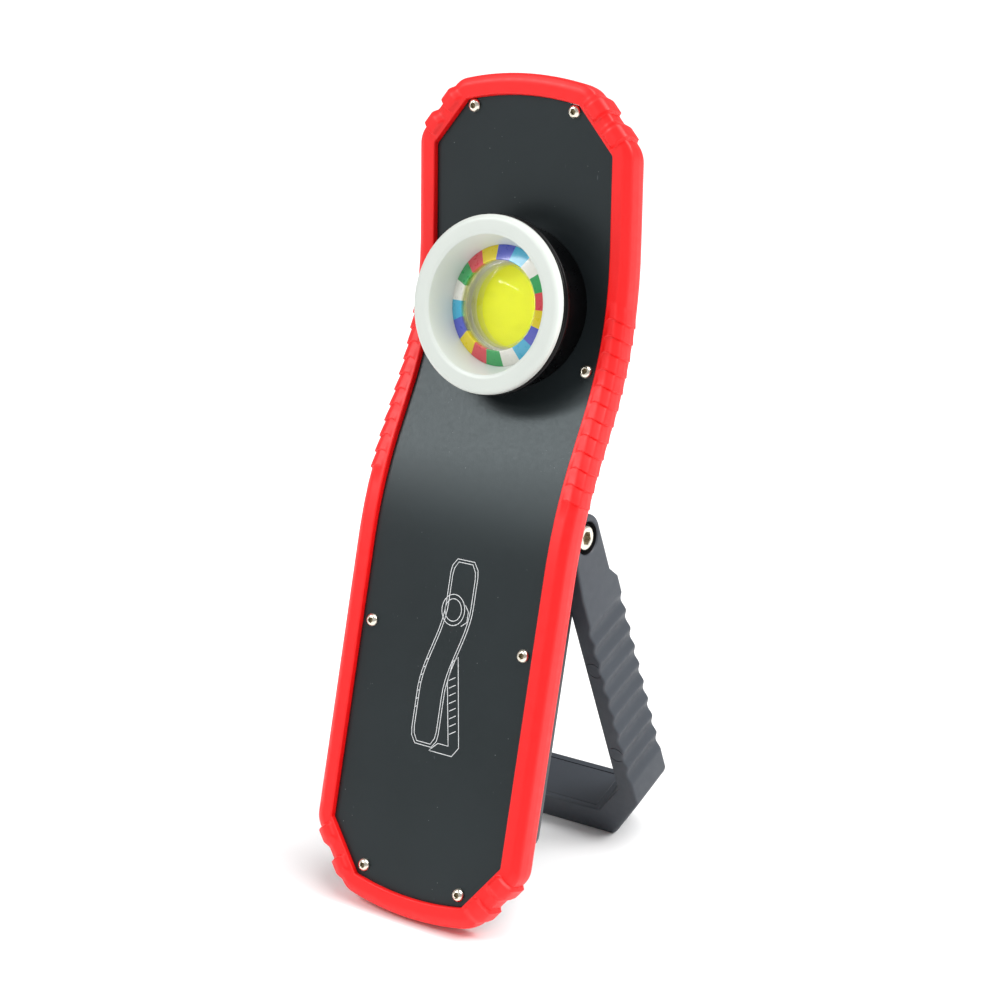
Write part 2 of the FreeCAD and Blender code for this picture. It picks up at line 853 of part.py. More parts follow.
def cob_phosphor():
    return disc("cob_phosphor", d.cob_radius, -d.board_front, -d.cob_front)


def cob_screws():
    """Two small screws that hold the diode board on its pedestal."""
    made = []
    for side in (-1.0, 1.0):
        spot = (d.cob_radius + d.board_radius) / 2.0 * side
        made.append(rod(f"cob_screw_{int(side) + 2}", 1.2, 0.6, spot, 0.0, -d.board_front))
    return grouped("cob_screws", made)


# ---------------------------------------------------------------- the stand


def stand_frame():
    """U-shaped stand: two arms and a foot plate with a recess for the magnets."""
    body = new_body("stand_frame")
    side = new_sketch(body, "YZ_Plane", "arm_side")
    front = -float(d.arm_front)
    rear = float(d.arm_rear)
    sole = -float(d.foot_reach)
    neck = float(d.arm_neck)
    top = float(d.arm_top)
    toe = float(d.foot_edge)
    heel = float(d.foot_round)
    half = math.sqrt(0.5)
    crown = [Vector(-top, 1.0, 0), Vector(-top * 0.15, top, 0), Vector(neck, -0.5, 0)]
    corners = [
        crown[2],
        Vector(neck, -float(d.neck_long), 0),
        Vector(rear, -float(d.notch_end), 0),
        Vector(rear, sole + heel, 0),
    ]
    side.addGeometry([
        Part.Arc(*crown),
        Part.LineSegment(corners[0], corners[1]),
        Part.LineSegment(corners[1], corners[2]),
        Part.LineSegment(corners[2], corners[3]),
        Part.Arc(corners[3], Vector(rear - heel + heel * half, sole + heel - heel * half, 0),
                 Vector(rear - heel, sole, 0)),
        Part.LineSegment(Vector(rear - heel, sole, 0), Vector(front + toe, sole, 0)),
        Part.Arc(Vector(front + toe, sole, 0),
                 Vector(front + toe - toe * half, sole + toe - toe * half, 0),
                 Vector(front, sole + toe, 0)),
        Part.LineSegment(Vector(front, sole + toe, 0), Vector(front, -float(d.neck_long), 0)),
        Part.LineSegment(Vector(front, -float(d.neck_long), 0), crown[0]),
    ])
    add_pad(body, side, d.arm_outside * 2.0, symmetric=True)
    doc.recompute()
    window = new_sketch(body, "XZ_Plane", "arm_window")
    plate_top = -d.foot_reach + d.foot_thick
    draw_polygon(window, [
        (d.gusset_x - d.arm_inside, plate_top), (d.arm_inside - d.gusset_x, plate_top),
        (d.arm_inside, plate_top + d.gusset_z), (d.arm_inside, 20.0),
        (-d.arm_inside, 20.0), (-d.arm_inside, plate_top + d.gusset_z)])
    add_pocket(body, window, 60.0, symmetric=True)
    corner = new_sketch(body, "XZ_Plane", "foot_corner")
    for way in (-1.0, 1.0):
        outer = (d.arm_outside + 1.0) * way
        draw_polygon(corner, [
            ((d.arm_outside - d.foot_corner_x) * way, -d.foot_reach),
            (d.arm_outside * way, -d.foot_reach + d.foot_corner_z),
            (outer, -d.foot_reach + d.foot_corner_z),
            (outer, -d.foot_reach - 1.0),
            ((d.arm_outside - d.foot_corner_x) * way, -d.foot_reach - 1.0)])
    add_pocket(body, corner, 60.0, symmetric=True)
    bore = new_sketch(body, "YZ_Plane", "pivot_bore_ring")
    draw_circle(bore, 0.0, 0.0, d.pivot_bore)
    add_pocket(body, bore, 100.0, symmetric=True)
    for way, name in ((-1.0, "left"), (1.0, "right")):
        floor = (d.arm_outside - d.counterbore_deep) * way
        sink = new_sketch(body, "YZ_Plane", f"counterbore_{name}", floor)
        draw_circle(sink, 0.0, 0.0, d.counterbore)
        add_pocket(body, sink, 10.0, backwards=way > 0)
    recess = new_sketch(body, "XY_Plane", "cover_recess", plate_top)
    draw_rectangle(recess, -d.cover_half, -d.cover_deep / 2.0, d.cover_half, d.cover_deep / 2.0)
    add_pocket(body, recess, d.cover_thick)
    cups = new_sketch(body, "XY_Plane", "magnet_cups", plate_top - d.cover_thick)
    for way in (-1.0, 1.0):
        draw_circle(cups, d.magnet_x * way, 0.0, d.magnet_radius)
    add_pocket(body, cups, d.magnet_thick)
    return body


def magnet_cover():
    low = -d.foot_reach + d.foot_thick - d.cover_thick
    gap = 0.1
    return box("magnet_cover", -d.cover_half + gap, -d.cover_deep / 2.0 + gap, low,
               d.cover_half * 2.0 - 2.0 * gap, d.cover_deep - 2.0 * gap, d.cover_thick)


def foot_magnets():
    low = -d.foot_reach + d.foot_thick - d.cover_thick - d.magnet_thick
    made = []
    for side in (-1.0, 1.0):
        name = f"magnet_{int(side) + 2}"
        made.append(rod(name, d.magnet_radius - 0.05, d.magnet_thick, d.magnet_x * side, 0.0, low))
    return grouped("foot_magnets", made)


def mirrored_pair(name, profile):
    """A turned piece on each pivot, its Z pointing outwards."""
    made = []
    for side, turn in ((-1.0, -90), (1.0, 90)):
        piece = turned(f"{name}_{int(side) + 2}", profile)
        base = vec(0, d.pivot_y, d.pivot_z)
        piece.Placement = Placement(base, Rotation(Vector(0, 1, 0), turn))
        made.append(piece)
    return made


def stand_screws():
    """Shoulder screws that the arms turn on, with a hex socket."""
    under = d.arm_outside - d.counterbore_deep + 0.1
    wall = d.panel_half - d.shell_inset
    top = under + d.pivot_head_tall
    thread = d.pivot_shoulder - 0.9
    return grouped("stand_screws", mirrored_pair("stand_screw", [
        (0.0, wall - 7.0), (thread, wall - 7.0), (thread, wall), (d.pivot_shoulder, wall),
        (d.pivot_shoulder, under), (d.pivot_head, under), (d.pivot_head, top - 0.5),
        (d.pivot_head - 0.7, top), (1.6, top), (1.6, top - 1.5), (0.0, top - 1.5)]))


def pivot_washers():
    """Thin nylon washers between the shell and the arms."""
    wall = d.panel_half - d.shell_inset
    return grouped("pivot_washers", mirrored_pair("pivot_washer", [
        (d.pivot_shoulder + 0.05, wall), (d.pivot_head + 2.0, wall),
        (d.pivot_head + 2.0, d.arm_inside - 0.05), (d.pivot_shoulder + 0.05, d.arm_inside - 0.05)]))


def pivot_inserts():
    """Threaded brass inserts in the shell's pivot pads."""
    wall = d.panel_half - d.shell_inset
    thread = d.pivot_shoulder - 0.9
    return grouped("pivot_inserts", mirrored_pair("pivot_insert", [
        (thread, wall - 7.9), (d.pivot_head - 0.7, wall - 7.9),
        (d.pivot_head - 0.7, wall), (thread, wall)]))


# ---------------------------------------------------------------- inside the case


def battery_cell():
    """Round lithium cell standing in the lower half."""
    middle = (d.shell_deep - d.shell_wall + d.panel_thick) / 2.0
    return rod("battery_cell", d.cell_radius, d.cell_long, 0.0, middle, d.cell_foot)


def battery_contacts():
    """A sprung nickel plate at each end of the cell."""
    middle = (d.shell_deep - d.shell_wall + d.panel_thick) / 2.0
    half = d.contact_half
    plate = d.contact_thick
    low = d.cell_foot - plate
    high = d.cell_foot + d.cell_long
    return grouped("battery_contacts", [
        box("contact_low", -half, middle - half, low, half * 2.0, half * 2.0, plate),
        box("contact_high", -half, middle - half, high, half * 2.0, half * 2.0, plate)])


def control_board():
    """Charging and switching board behind the rear wall."""
    return box("control_board", -d.control_half, d.shell_deep - d.control_depth, d.control_foot,
               d.control_half * 2.0, d.control_thick, d.control_long)


def tact_switch():
    """Click switch under the button."""
    seat = d.shell_deep - d.control_depth + d.control_thick
    case = box("switch_case", -3.0, seat, d.button_z - 3.0, 6.0, 2.6, 6.0)
    stud = rod("switch_stud", 1.4, 0.8, 0.0, seat + 2.6, d.button_z, FACING_REAR)
    return joined("tact_switch", [case, stud])


def power_button():
    """Round push button with a collar that keeps it in the shell."""
    reach = d.shell_deep + d.button_proud
    collar = d.button_radius + d.button_collar
    body = turned("power_button", [
        (0.0, d.shell_deep - 3.6), (collar, d.shell_deep - 3.6),
        (collar, d.shell_deep - 2.3), (d.button_radius, d.shell_deep - 2.3),
        (d.button_radius, reach - 0.5), (d.button_radius - 0.6, reach), (0.0, reach)])
    body.Placement = Placement(vec(0, 0, d.button_z), FACING_REAR)
    return body


def usb_socket():
    """Charging socket: a thin metal sleeve, open to the rear, with a tongue."""
    foot = d.shell_deep - d.socket_long
    long = d.socket_long - d.flap_thick - 0.3
    wall = 0.4
    sleeve = cut("usb_sleeve",
                 box("usb_outside", -d.usb_half, foot, d.usb_z, d.usb_half * 2.0, long, d.usb_tall),
                 box("usb_inside", -d.usb_half + wall, foot + 1.0, d.usb_z + wall,
                     d.usb_half * 2.0 - 2.0 * wall, long, d.usb_tall - 2.0 * wall))
    tongue = box("usb_tongue", -d.usb_half + 1.2, foot + 0.5, d.usb_z + d.usb_tall / 2.0 - 0.35,
                 d.usb_half * 2.0 - 2.4, long - 1.6, 0.7)
    return joined("usb_socket", [sleeve, tongue])


def usb_cover():
    """Rubber flap over the socket with a finger tab at its free end."""
    foot = d.usb_z + d.usb_tall / 2.0 - d.flap_tall / 2.0
    plate = box("flap_plate", -d.flap_half, d.shell_deep - d.flap_thick, foot,
                d.flap_half * 2.0, d.flap_thick, d.flap_tall)
    tab = box("flap_tab", -2.5, d.shell_deep - 0.1, foot + d.flap_tall - 1.8, 5.0, 0.9, 1.6)
    return joined("usb_cover", [plate, tab])


def charge_light():
    """Light pipe beside the socket."""
    return rod("charge_light", d.light_radius, d.light_long, d.light_x,
               d.shell_deep - d.light_long, d.usb_z + d.light_rise, FACING_REAR)


def wire(name, spots, radius):
    """A thin lead along straight runs joined by tangent arcs."""
    edges = []
    start = spots[0]
    for before, corner, after in zip(spots, spots[1:], spots[2:]):
        way_in = (corner - before).normalize()
        way_out = (after - corner).normalize()
        trim = 0.45 * min(before.distanceToPoint(corner), corner.distanceToPoint(after))
        first = corner - way_in * trim
        last = corner + way_out * trim
        half_turn = way_in.getAngle(way_out) / 2.0
        bend = trim / math.tan(half_turn)
        inward = (way_out - way_in).normalize()
        middle = corner + inward * (bend / math.cos(half_turn) - bend)
        edges.append(Part.LineSegment(start, first).toShape())
        edges.append(Part.Arc(first, middle, last).toShape())
        start = last
    edges.append(Part.LineSegment(start, spots[-1]).toShape())
    path = Part.Wire(edges)
    lead = doc.addObject("Part::Feature", name)
    ring_edge = Part.makeCircle(radius, spots[0], spots[1] - spots[0])
    lead.Shape = path.makePipeShell([Part.Wire([ring_edge])], True, False)
    return lead


def led_wires():
    """Two leads from the board up to the diodes' heat sink."""
    board = float(d.shell_deep) - 6.9
    made = []
    for side in (-1.0, 1.0):
        made.append(wire(f"led_wire_{int(side) + 2}", [
            Vector(side * 8.0, board, 86.0), Vector(side * 8.0, board + 2.4, 91.0),
            Vector(side * 9.5, board + 2.2, 97.5), Vector(side * 11.0, board + 1.6, 101.5)],
            float(d.lead_radius)))
    return grouped("led_wires", made)


def battery_wires():
    """Two leads from the cell's ends to the board."""
    made = []
    for side, low in ((-1.0, -20.0), (1.0, 10.0)):
        made.append(wire(f"battery_wire_{int(side) + 2}", [
            Vector(side * 11.0, 5.0, low), Vector(side * 12.6, 6.0, low + 10.0),
            Vector(side * 12.6, 8.0, 26.0), Vector(side * 10.0, 11.0, 36.0)], float(d.lead_radius)))
    return grouped("battery_wires", made)


# ---------------------------------------------------------------- assembly


def lowest_point():
    """Height of the body frame's origin over the floor: the bumper's heel rests on it."""
    lean = math.radians(float(d.lean))
    foot = float(d.panel_foot - d.end_bow) - float(d.bumper_width)
    corner_y = float(d.bumper_deep - d.bumper_round)
    heel_y = float(d.bumper_deep)
    heel_z = foot + float(d.bumper_round) * 0.35
    heights = [-corner_y * math.sin(lean) + foot * math.cos(lean),
               -heel_y * math.sin(lean) + heel_z * math.cos(lean)]
    return -min(heights)


def body_frame():
    return Placement(Vector(0, 0, lowest_point()), Rotation(Vector(1, 0, 0), -float(d.lean)))


def stand_angle():
    """Angle of the arms from the vertical that puts the foot's front edge on the floor."""
    pivot = body_frame().multVec(vec(0, d.pivot_y, d.pivot_z))
    edge = float(d.foot_edge)
    ahead = float(d.arm_front) - edge
    below = float(d.foot_reach) - edge
    reach = math.hypot(ahead, below)
    return math.degrees(math.atan2(ahead, below) + math.acos((pivot.z - edge) / reach))


def stand_place():
    pivot = body_frame().multVec(vec(0, d.pivot_y, d.pivot_z))
    return Placement(pivot, Rotation(Vector(1, 0, 0), stand_angle()))


BODY_PARTS = [
    front_panel, bumper_frame, rear_shell, panel_screws, stand_screws, pivot_washers,
    pivot_inserts, battery_cell, battery_contacts, control_board, tact_switch, power_button,
    usb_socket, usb_cover, charge_light, led_wires, battery_wires,
]
HEAD_PARTS = [
    bezel, focus_sleeve, head_o_ring, colour_ring, lens, lens_holder,
    head_barrel, heat_sink, cob_board, cob_phosphor, cob_screws,
]
STAND_PARTS = [stand_frame, magnet_cover, foot_magnets]


def build_all():
    """Every sub-part in its rest place, before the origin is centred."""
    nodes = []
    lean = body_frame()
    for frame, makers in ((lean, BODY_PARTS),
                          (lean.multiply(head_frame()), HEAD_PARTS),
                          (stand_place(), STAND_PARTS)):
        for maker in makers:
            part = maker()
            part.Label = maker.__name__
            part.setExpression("Placement.Base.x", None)
            part.setExpression("Placement.Base.y", None)
            part.setExpression("Placement.Base.z", None)
            part.Placement = frame.multiply(part.Placement)
            nodes.append(part)
    doc.recompute()
    return nodes


def centre_all(nodes):
    """Slide everything along Y so that the origin is under the middle of the box."""
    low = min(node.Shape.BoundBox.YMin for node in nodes)
    high = max(node.Shape.BoundBox.YMax for node in nodes)
    shift = Placement(Vector(0, -(low + high) / 2.0, 0), Rotation())
    for node in nodes:
        node.Placement = shift.multiply(node.Placement)
    doc.recompute()
    return shift.Base.y


def check_all(nodes):
    for thing in doc.Objects:
        if "Invalid" in thing.State or "Error" in thing.State:
            raise RuntimeError(f"{thing.Name} failed: {thing.State}")
    for node in nodes:
        if node.Shape.isNull() or not node.Shape.isValid():
            raise RuntimeError(f"{node.Label} has a bad shape")


nodes = build_all()
slide = centre_all(nodes)
check_all(nodes)
os.makedirs("parts", exist_ok=True)
for node in nodes:
    node.Shape.exportStep(os.path.join("parts", f"{node.Label}.step"))
print(f"{len(nodes)} parts, floor height {lowest_point():.3f}, slide {slide:.3f}, "
      f"stand angle {stand_angle():.3f}")
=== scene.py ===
"""Work light on a folding magnet stand: its look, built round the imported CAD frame.

Shapes are drawn in millimetres, in the body's, the head's or the stand's own frame, and placed
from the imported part's hinge. The body frame has X across, Y backwards and Z up the panel.
"""

import json
import math

import bmesh
import bpy
from mathutils import Matrix, Vector


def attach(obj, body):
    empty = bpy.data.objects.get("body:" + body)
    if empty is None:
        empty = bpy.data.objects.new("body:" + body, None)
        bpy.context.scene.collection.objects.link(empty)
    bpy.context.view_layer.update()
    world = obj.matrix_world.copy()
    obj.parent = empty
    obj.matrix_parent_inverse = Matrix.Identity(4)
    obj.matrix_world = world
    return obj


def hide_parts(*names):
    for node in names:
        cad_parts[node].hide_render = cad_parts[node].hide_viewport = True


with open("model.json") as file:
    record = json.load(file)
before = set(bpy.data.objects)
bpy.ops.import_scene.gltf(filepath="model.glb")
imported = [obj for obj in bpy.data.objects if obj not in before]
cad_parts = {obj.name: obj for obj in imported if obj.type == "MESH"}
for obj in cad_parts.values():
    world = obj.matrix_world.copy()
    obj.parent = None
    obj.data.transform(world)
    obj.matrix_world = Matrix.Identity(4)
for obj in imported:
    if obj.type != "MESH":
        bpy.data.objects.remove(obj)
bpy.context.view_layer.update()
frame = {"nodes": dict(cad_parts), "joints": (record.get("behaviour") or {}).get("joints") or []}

# ---------- sizes in millimetres

MM = 0.001
PANEL_HALF, PANEL_THICK = 30.0, 1.5
PANEL_FOOT, PANEL_HEAD = -42.0, 179.5
CORNER_HALF, FOOT_RISE, HEAD_DROP = 18.9, 14.0, 12.5
END_BOW = 2.0
STRAIGHT_TOP, LOWER_BEND, LOWER_ANGLE = 53.0, 120.0, 15.5
LINK_LONG, UPPER_BEND, HEAD_ANGLE = 12.7, 90.0, 13.0
BUMPER_WIDTH, BUMPER_DEEP, BUMPER_PROUD = 6.0, 5.95, 1.6
FLANGE_WIDTH, FLANGE_BACK, SKIRT_START = 1.4, 3.0, 4.1
SHELL_INSET, SHELL_WALL = 2.6, 2.0
SHELL_DEEP, SHELL_DEEP_HEAD, SHELL_FOOT = 22.0, 14.0, -34.3
PIVOT_Y, PIVOT_Z, LEAN = 12.3, 64.1, 18.7
HEAD_Y, HEAD_Z, HEAD_NOD = -5.4, 123.2, 4.0
BEZEL_RADIUS, BOWL_MOUTH, BOWL_FLOOR, RIM_BACK = 24.75, 19.3, 16.9, -2.6
SLEEVE_RADIUS, SLEEVE_BORE, SLEEVE_END = 20.35, 18.9, -15.2
BARREL_RADIUS, BARREL_BORE, BARREL_FLANGE, BARREL_BACK = 23.0, 20.6, 24.8, -21.4
RING_BORE, RING_BACK, LENS_FLANGE, LENS_BORE = 12.6, -9.4, 15.2, 11.4
COB_RADIUS, COB_FRONT = 11.6, -12.6
ARM_INSIDE, ARM_OUTSIDE, ARM_FRONT, ARM_REAR = 27.8, 33.6, 8.6, 9.0
ARM_NECK, ARM_TOP, NECK_LONG, NOTCH_END = 6.3, 6.9, 15.0, 19.5
FOOT_REACH, FOOT_THICK, FOOT_EDGE = 108.8, 9.4, 1.5
CORNER_X, CORNER_Z, GUSSET_X, GUSSET_Z, GUSSET_GAP = 12.0, 16.0, 9.4, 11.5, 0.6
COVER_HALF, COVER_DEEP, COVER_THICK = 16.7, 14.0, 1.5
COUNTERBORE, COUNTERBORE_DEEP, SHOULDER, PIVOT_HEAD = 4.7, 2.6, 2.5, 3.5
SCREW_THREAD, SCREW_HEAD, SCREW_LIFT = 0.8, 1.9, 0.02
SCREW_END_X, SCREW_SIDE_X, SCREW_SHORT, SCREW_LONG = 16.8, 26.4, 1.4, 8.0
BUTTON_RADIUS, BUTTON_Z, BUTTON_PROUD = 6.0, 82.0, 1.0
USB_Z, USB_HALF, USB_TALL = 46.0, 4.5, 3.4
FLAP_HALF, FLAP_TALL, FLAP_THICK = 8.0, 10.0, 1.2
LIGHT_X, LIGHT_RISE, LIGHT_RADIUS, AXIS_GAP = 12.0, 2.0, 0.95, 0.02
RIB_FOOT, RIB_PITCH, RIB_COUNT, RIB_TALL, RIB_ARCH = 72.6, 4.57, 12, 0.62, 1.2
LUG_TALL, LUG_RADIUS, HEAD_LUG_GAP, FOOT_LUG_GAP = 1.05, 2.95, 4.4, 5.0
WAVE_TOP, WAVE_PITCH, WAVE_COUNT, WAVE_DEEP = 25.0, 6.65, 9, 0.95

# ---------- frames of the moving bodies


def joint_place(name):
    """A joint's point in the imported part."""
    row = next(joint for joint in frame["joints"] if joint["name"] == name)
    return Vector(row["pos_m"])


def turn_x(degrees):
    return Matrix.Rotation(math.radians(degrees), 4, "X")


def shift(x, y, z):
    return Matrix.Translation((x, y, z))


def stand_angle():
    """Angle of the arms from the vertical that lays the foot's front edge on the floor."""
    ahead = ARM_FRONT - FOOT_EDGE
    below = FOOT_REACH - FOOT_EDGE
    height = PIVOT.z / MM - FOOT_EDGE
    return math.degrees(math.atan2(ahead, below) + math.acos(height / math.hypot(ahead, below)))


PIVOT = joint_place("stand_hinge")
AT_PIVOT = Matrix.Translation(PIVOT)
BODY = AT_PIVOT @ turn_x(-LEAN) @ Matrix.Scale(MM, 4) @ shift(0, -PIVOT_Y, -PIVOT_Z)
HEAD = BODY @ shift(0, HEAD_Y, HEAD_Z) @ turn_x(90 + HEAD_NOD)
STAND = AT_PIVOT @ turn_x(stand_angle()) @ Matrix.Scale(MM, 4)
REARWARDS = turn_x(-90)

# ---------- curves


def smooth(value, low, high):
    """A soft step from 0 at low to 1 at high."""
    share = min(1.0, max(0.0, (value - low) / (high - low)))
    return share * share * (3.0 - 2.0 * share)


def rounded(spots, steps=5):
    """A closed outline from corners (x, y, radius), each corner eased by its radius."""
    made = []
    for place, (x, y, radius) in enumerate(spots):
        corner = Vector((x, y))
        before = Vector(spots[place - 1][:2])
        after = Vector(spots[(place + 1) % len(spots)][:2])
        if radius <= 0:
            made.append(corner)
            continue
        way_in = (corner - before).normalized()
        way_out = (after - corner).normalized()
        trim = radius * math.tan(way_in.angle(way_out) / 2.0)
        trim = min(trim, 0.48 * (corner - before).length, 0.48 * (after - corner).length)
        first = corner - way_in * trim
        last = corner + way_out * trim
        for step in range(steps + 1):
            t = step / steps
            made.append(first * (1 - t) ** 2 + corner * 2 * t * (1 - t) + last * t * t)
    return made


def spaced(spots, gap):
    """The same closed outline with no step longer than a gap."""
    made = []
    for start, end in zip(spots, spots[1:] + spots[:1]):
        count = max(1, math.ceil((end - start).length / gap))
        made.extend(start.lerp(end, step / count) for step in range(count))
    return made


def round_angles(count):
    """Angles of evenly spaced points round a full turn."""
    return [2.0 * math.pi * step / count for step in range(count)]


def lean_way(angle):
    return math.sin(math.radians(angle)), math.cos(math.radians(angle))


def upper_centre():
    """Centre of the panel's upper bend, as (y, z)."""
    lean_y, lean_z = lean_way(LOWER_ANGLE)
    end_y = LOWER_BEND - LOWER_BEND * lean_z + LINK_LONG * lean_y
    end_z = STRAIGHT_TOP + LOWER_BEND * lean_y + LINK_LONG * lean_z
    return end_y - UPPER_BEND * lean_z, end_z + UPPER_BEND * lean_y


UPPER_Y, UPPER_Z = upper_centre()


def side_y(z, depth=0.0):
    """How far back the S-shaped side view lies at a height, at a depth behind the panel."""
    lean_y, lean_z = lean_way(LOWER_ANGLE)
    near = LOWER_BEND - depth
    far = UPPER_BEND + depth
    low_end = STRAIGHT_TOP + near * lean_y
    high_start = UPPER_Z - far * lean_y
    high_end = UPPER_Z + far * lean_way(HEAD_ANGLE)[0]
    if z <= STRAIGHT_TOP:
        return depth
    if z <= low_end:
        return LOWER_BEND - math.sqrt(near * near - (z - STRAIGHT_TOP) ** 2)
    if z <= high_start:
        return LOWER_BEND - near * lean_z + (z - low_end) * lean_y / lean_z
    if z <= high_end:
        return UPPER_Y + math.sqrt(far * far - (z - UPPER_Z) ** 2)
    drop = (z - high_end) * math.tan(math.radians(HEAD_ANGLE))
    return UPPER_Y + far * lean_way(HEAD_ANGLE)[1] - drop


def end_radius():
    return (CORNER_HALF ** 2 + END_BOW ** 2) / (2.0 * END_BOW)


class Walk:
    """Walks up the right-hand side of the outline and notes points with outward normals."""

    def __init__(self):
        self.spot = Vector((0.0, PANEL_FOOT - END_BOW))
        self.heading = 0.0
        self.stops = []

    def normal(self):
        return Vector((math.sin(self.heading), -math.cos(self.heading)))

    def note(self, kind, along):
        self.stops.append((self.spot.copy(), self.normal(), kind, along))

    def turn(self, radius, angle, steps):
        centre = self.spot - self.normal() * radius
        for _ in range(steps):
            self.heading += angle / steps
            self.spot = centre + self.normal() * radius
            self.note("bend", 0.0)

    def straight(self, kind, distances, long, origin=0.0, sign=1.0):
        start = self.spot.copy()
        way = Vector((math.cos(self.heading), math.sin(self.heading)))
        for distance in distances:
            self.spot = start + way * distance
            self.note(kind, origin + sign * distance)
        self.spot = start + way * long


RIB_SHARES = (0.03, 0.06, 0.09, 0.13, 0.25, 0.4, 0.55, 0.7, 0.85, 0.95)
OUTLINE_FILLET = 1.2


def rib_stops(z_start, long):
    """Distances up the side at which the grip ribs need a cross-section."""
    spots = [place * 6.0 for place in range(1, int(long / 6.0))]
    for rib in range(RIB_COUNT + 1):
        foot = RIB_FOOT + rib * RIB_PITCH - z_start
        spots.append(foot)
        if rib < RIB_COUNT:
            spots.extend(foot + RIB_PITCH * share for share in RIB_SHARES)
    return sorted(spots)


def fine_steps(long):
    """Distances along a cut corner at which its pads need a cross-section."""
    return [long * step / 60.0 for step in range(1, 61)]


def outline_walk():
    """Stops round the whole panel edge, from the bottom centre, anticlockwise from the front."""
    reach = end_radius()
    bow = math.asin(CORNER_HALF / reach)
    foot_way = math.atan2(FOOT_RISE, PANEL_HALF - CORNER_HALF)
    head_way = math.atan2(HEAD_DROP, CORNER_HALF - PANEL_HALF)
    foot_long = math.hypot(FOOT_RISE, PANEL_HALF - CORNER_HALF)
    head_long = math.hypot(HEAD_DROP, PANEL_HALF - CORNER_HALF)
    up = math.pi / 2.0
    turns = [foot_way - bow, up - foot_way, head_way - up, math.pi - bow - head_way]
    trims = [OUTLINE_FILLET * math.tan(turn / 2.0) for turn in turns]
    walk = Walk()
    walk.note("end", 0.0)
    walk.turn(reach, bow - trims[0] / reach, 8)
    walk.turn(OUTLINE_FILLET, turns[0] + trims[0] / reach, 7)
    corner = foot_long - trims[0] - trims[1]
    walk.straight("foot_lug", fine_steps(corner), corner, -corner / 2.0)
    walk.turn(OUTLINE_FILLET, turns[1], 7)
    side_z = walk.spot.y
    side = PANEL_HEAD - HEAD_DROP - trims[2] - side_z
    walk.straight("side", rib_stops(side_z, side), side, side_z)
    walk.note("side", side_z + side)
    walk.turn(OUTLINE_FILLET, turns[2], 7)
    corner = head_long - trims[2] - trims[3]
    walk.straight("head_lug", fine_steps(corner), corner, corner / 2.0, -1.0)
    walk.turn(OUTLINE_FILLET, turns[3] + trims[3] / reach, 7)
    walk.turn(reach, bow - trims[3] / reach, 8)
    left = [(Vector((-spot.x, spot.y)), Vector((-normal.x, normal.y)), kind, along)
            for spot, normal, kind, along in reversed(walk.stops[1:-1])]
    return walk.stops + left


def half_width(z, grow=0.0):
    """Half the outline's width at a height, when the outline is moved out by a distance."""
    limits = []
    rows = [
        (Vector((PANEL_HALF, 0.0)), Vector((1.0, 0.0))),
        (Vector((PANEL_HALF, PANEL_FOOT + FOOT_RISE)),
         Vector((FOOT_RISE, CORNER_HALF - PANEL_HALF)).normalized()),
        (Vector((PANEL_HALF, PANEL_HEAD - HEAD_DROP)),
         Vector((HEAD_DROP, PANEL_HALF - CORNER_HALF)).normalized()),
    ]
    for spot, normal in rows:
        reach = normal.dot(spot) + grow
        limits.append((reach - normal.y * z) / normal.x)
    radius = end_radius() + grow
    for end, sign in ((PANEL_FOOT - END_BOW, -1.0), (PANEL_HEAD + END_BOW, 1.0)):
        centre = end - sign * end_radius()
        inside = radius * radius - (z - centre) ** 2
        if (z - centre) * sign > 0:
            limits.append(math.sqrt(max(0.0, inside)))
    return max(0.0, min(limits))


# ---------- meshes


def skin(rings, closed=False, caps=False):
    """Vertices and faces joining rings of equal length."""
    count = len(rings[0])
    verts = [tuple(spot) for ring in rings for spot in ring]
    faces = []
    last = len(rings) if closed else len(rings) - 1
    for row in range(last):
        low = row * count
        high = ((row + 1) % len(rings)) * count
        for place in range(count):
            after = (place + 1) % count
            faces.append((low + place, low + after, high + after, high + place))
    if caps:
        faces.append(tuple(reversed(range(count))))
        faces.append(tuple(range(len(verts) - count, len(verts))))
    return verts, faces


def finished(mesh, place, sharp):
    """Puts a millimetre mesh in its place, with clean normals and soft shading."""
    mesh.transform(place)
    work = bmesh.new()
    work.from_mesh(mesh)
    bmesh.ops.remove_doubles(work, verts=work.verts, dist=2e-6)
    bmesh.ops.recalc_face_normals(work, faces=work.faces)
    work.to_mesh(mesh)
    work.free()
    mesh.shade_smooth()
    mesh.set_sharp_from_angle(angle=math.radians(sharp))


def made_object(name, shape, place, materials, paint=None, sharp=32.0):
    """An object from (vertices, faces), with a material for each face."""
    mesh = bpy.data.meshes.new(name)
    mesh.from_pydata(shape[0], [], shape[1])
    for material in materials:
        mesh.materials.append(material)
    if paint:
        for face in mesh.polygons:
            face.material_index = paint(face.center)
    finished(mesh, place, sharp)
    thing = bpy.data.objects.new(name, mesh)
    bpy.context.scene.collection.objects.link(thing)
    return thing


def piece(thing, body, slot, *nodes):
    """Declares a finished object: the body it rides on and the CAD it stands for; its slot is not
    used.
    """
    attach(thing, body)
    if nodes:
        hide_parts(*nodes)
    return thing


def carved(thing, cutters, sharp=32.0):
    """Takes closed cutters away from an object, for good."""
    for cutter in cutters:
        change = thing.modifiers.new("carve", "BOOLEAN")
        change.operation = "DIFFERENCE"
        change.solver = "EXACT"
        change.object = cutter
    graph = bpy.context.evaluated_depsgraph_get()
    mesh = bpy.data.meshes.new_from_object(thing.evaluated_get(graph), depsgraph=graph)
    old = thing.data
    thing.modifiers.clear()
    thing.data = mesh
    bpy.data.meshes.remove(old)
    for cutter in cutters:
        bpy.data.objects.remove(cutter)
    mesh.shade_smooth()
    mesh.set_sharp_from_angle(angle=math.radians(sharp))
    return thing


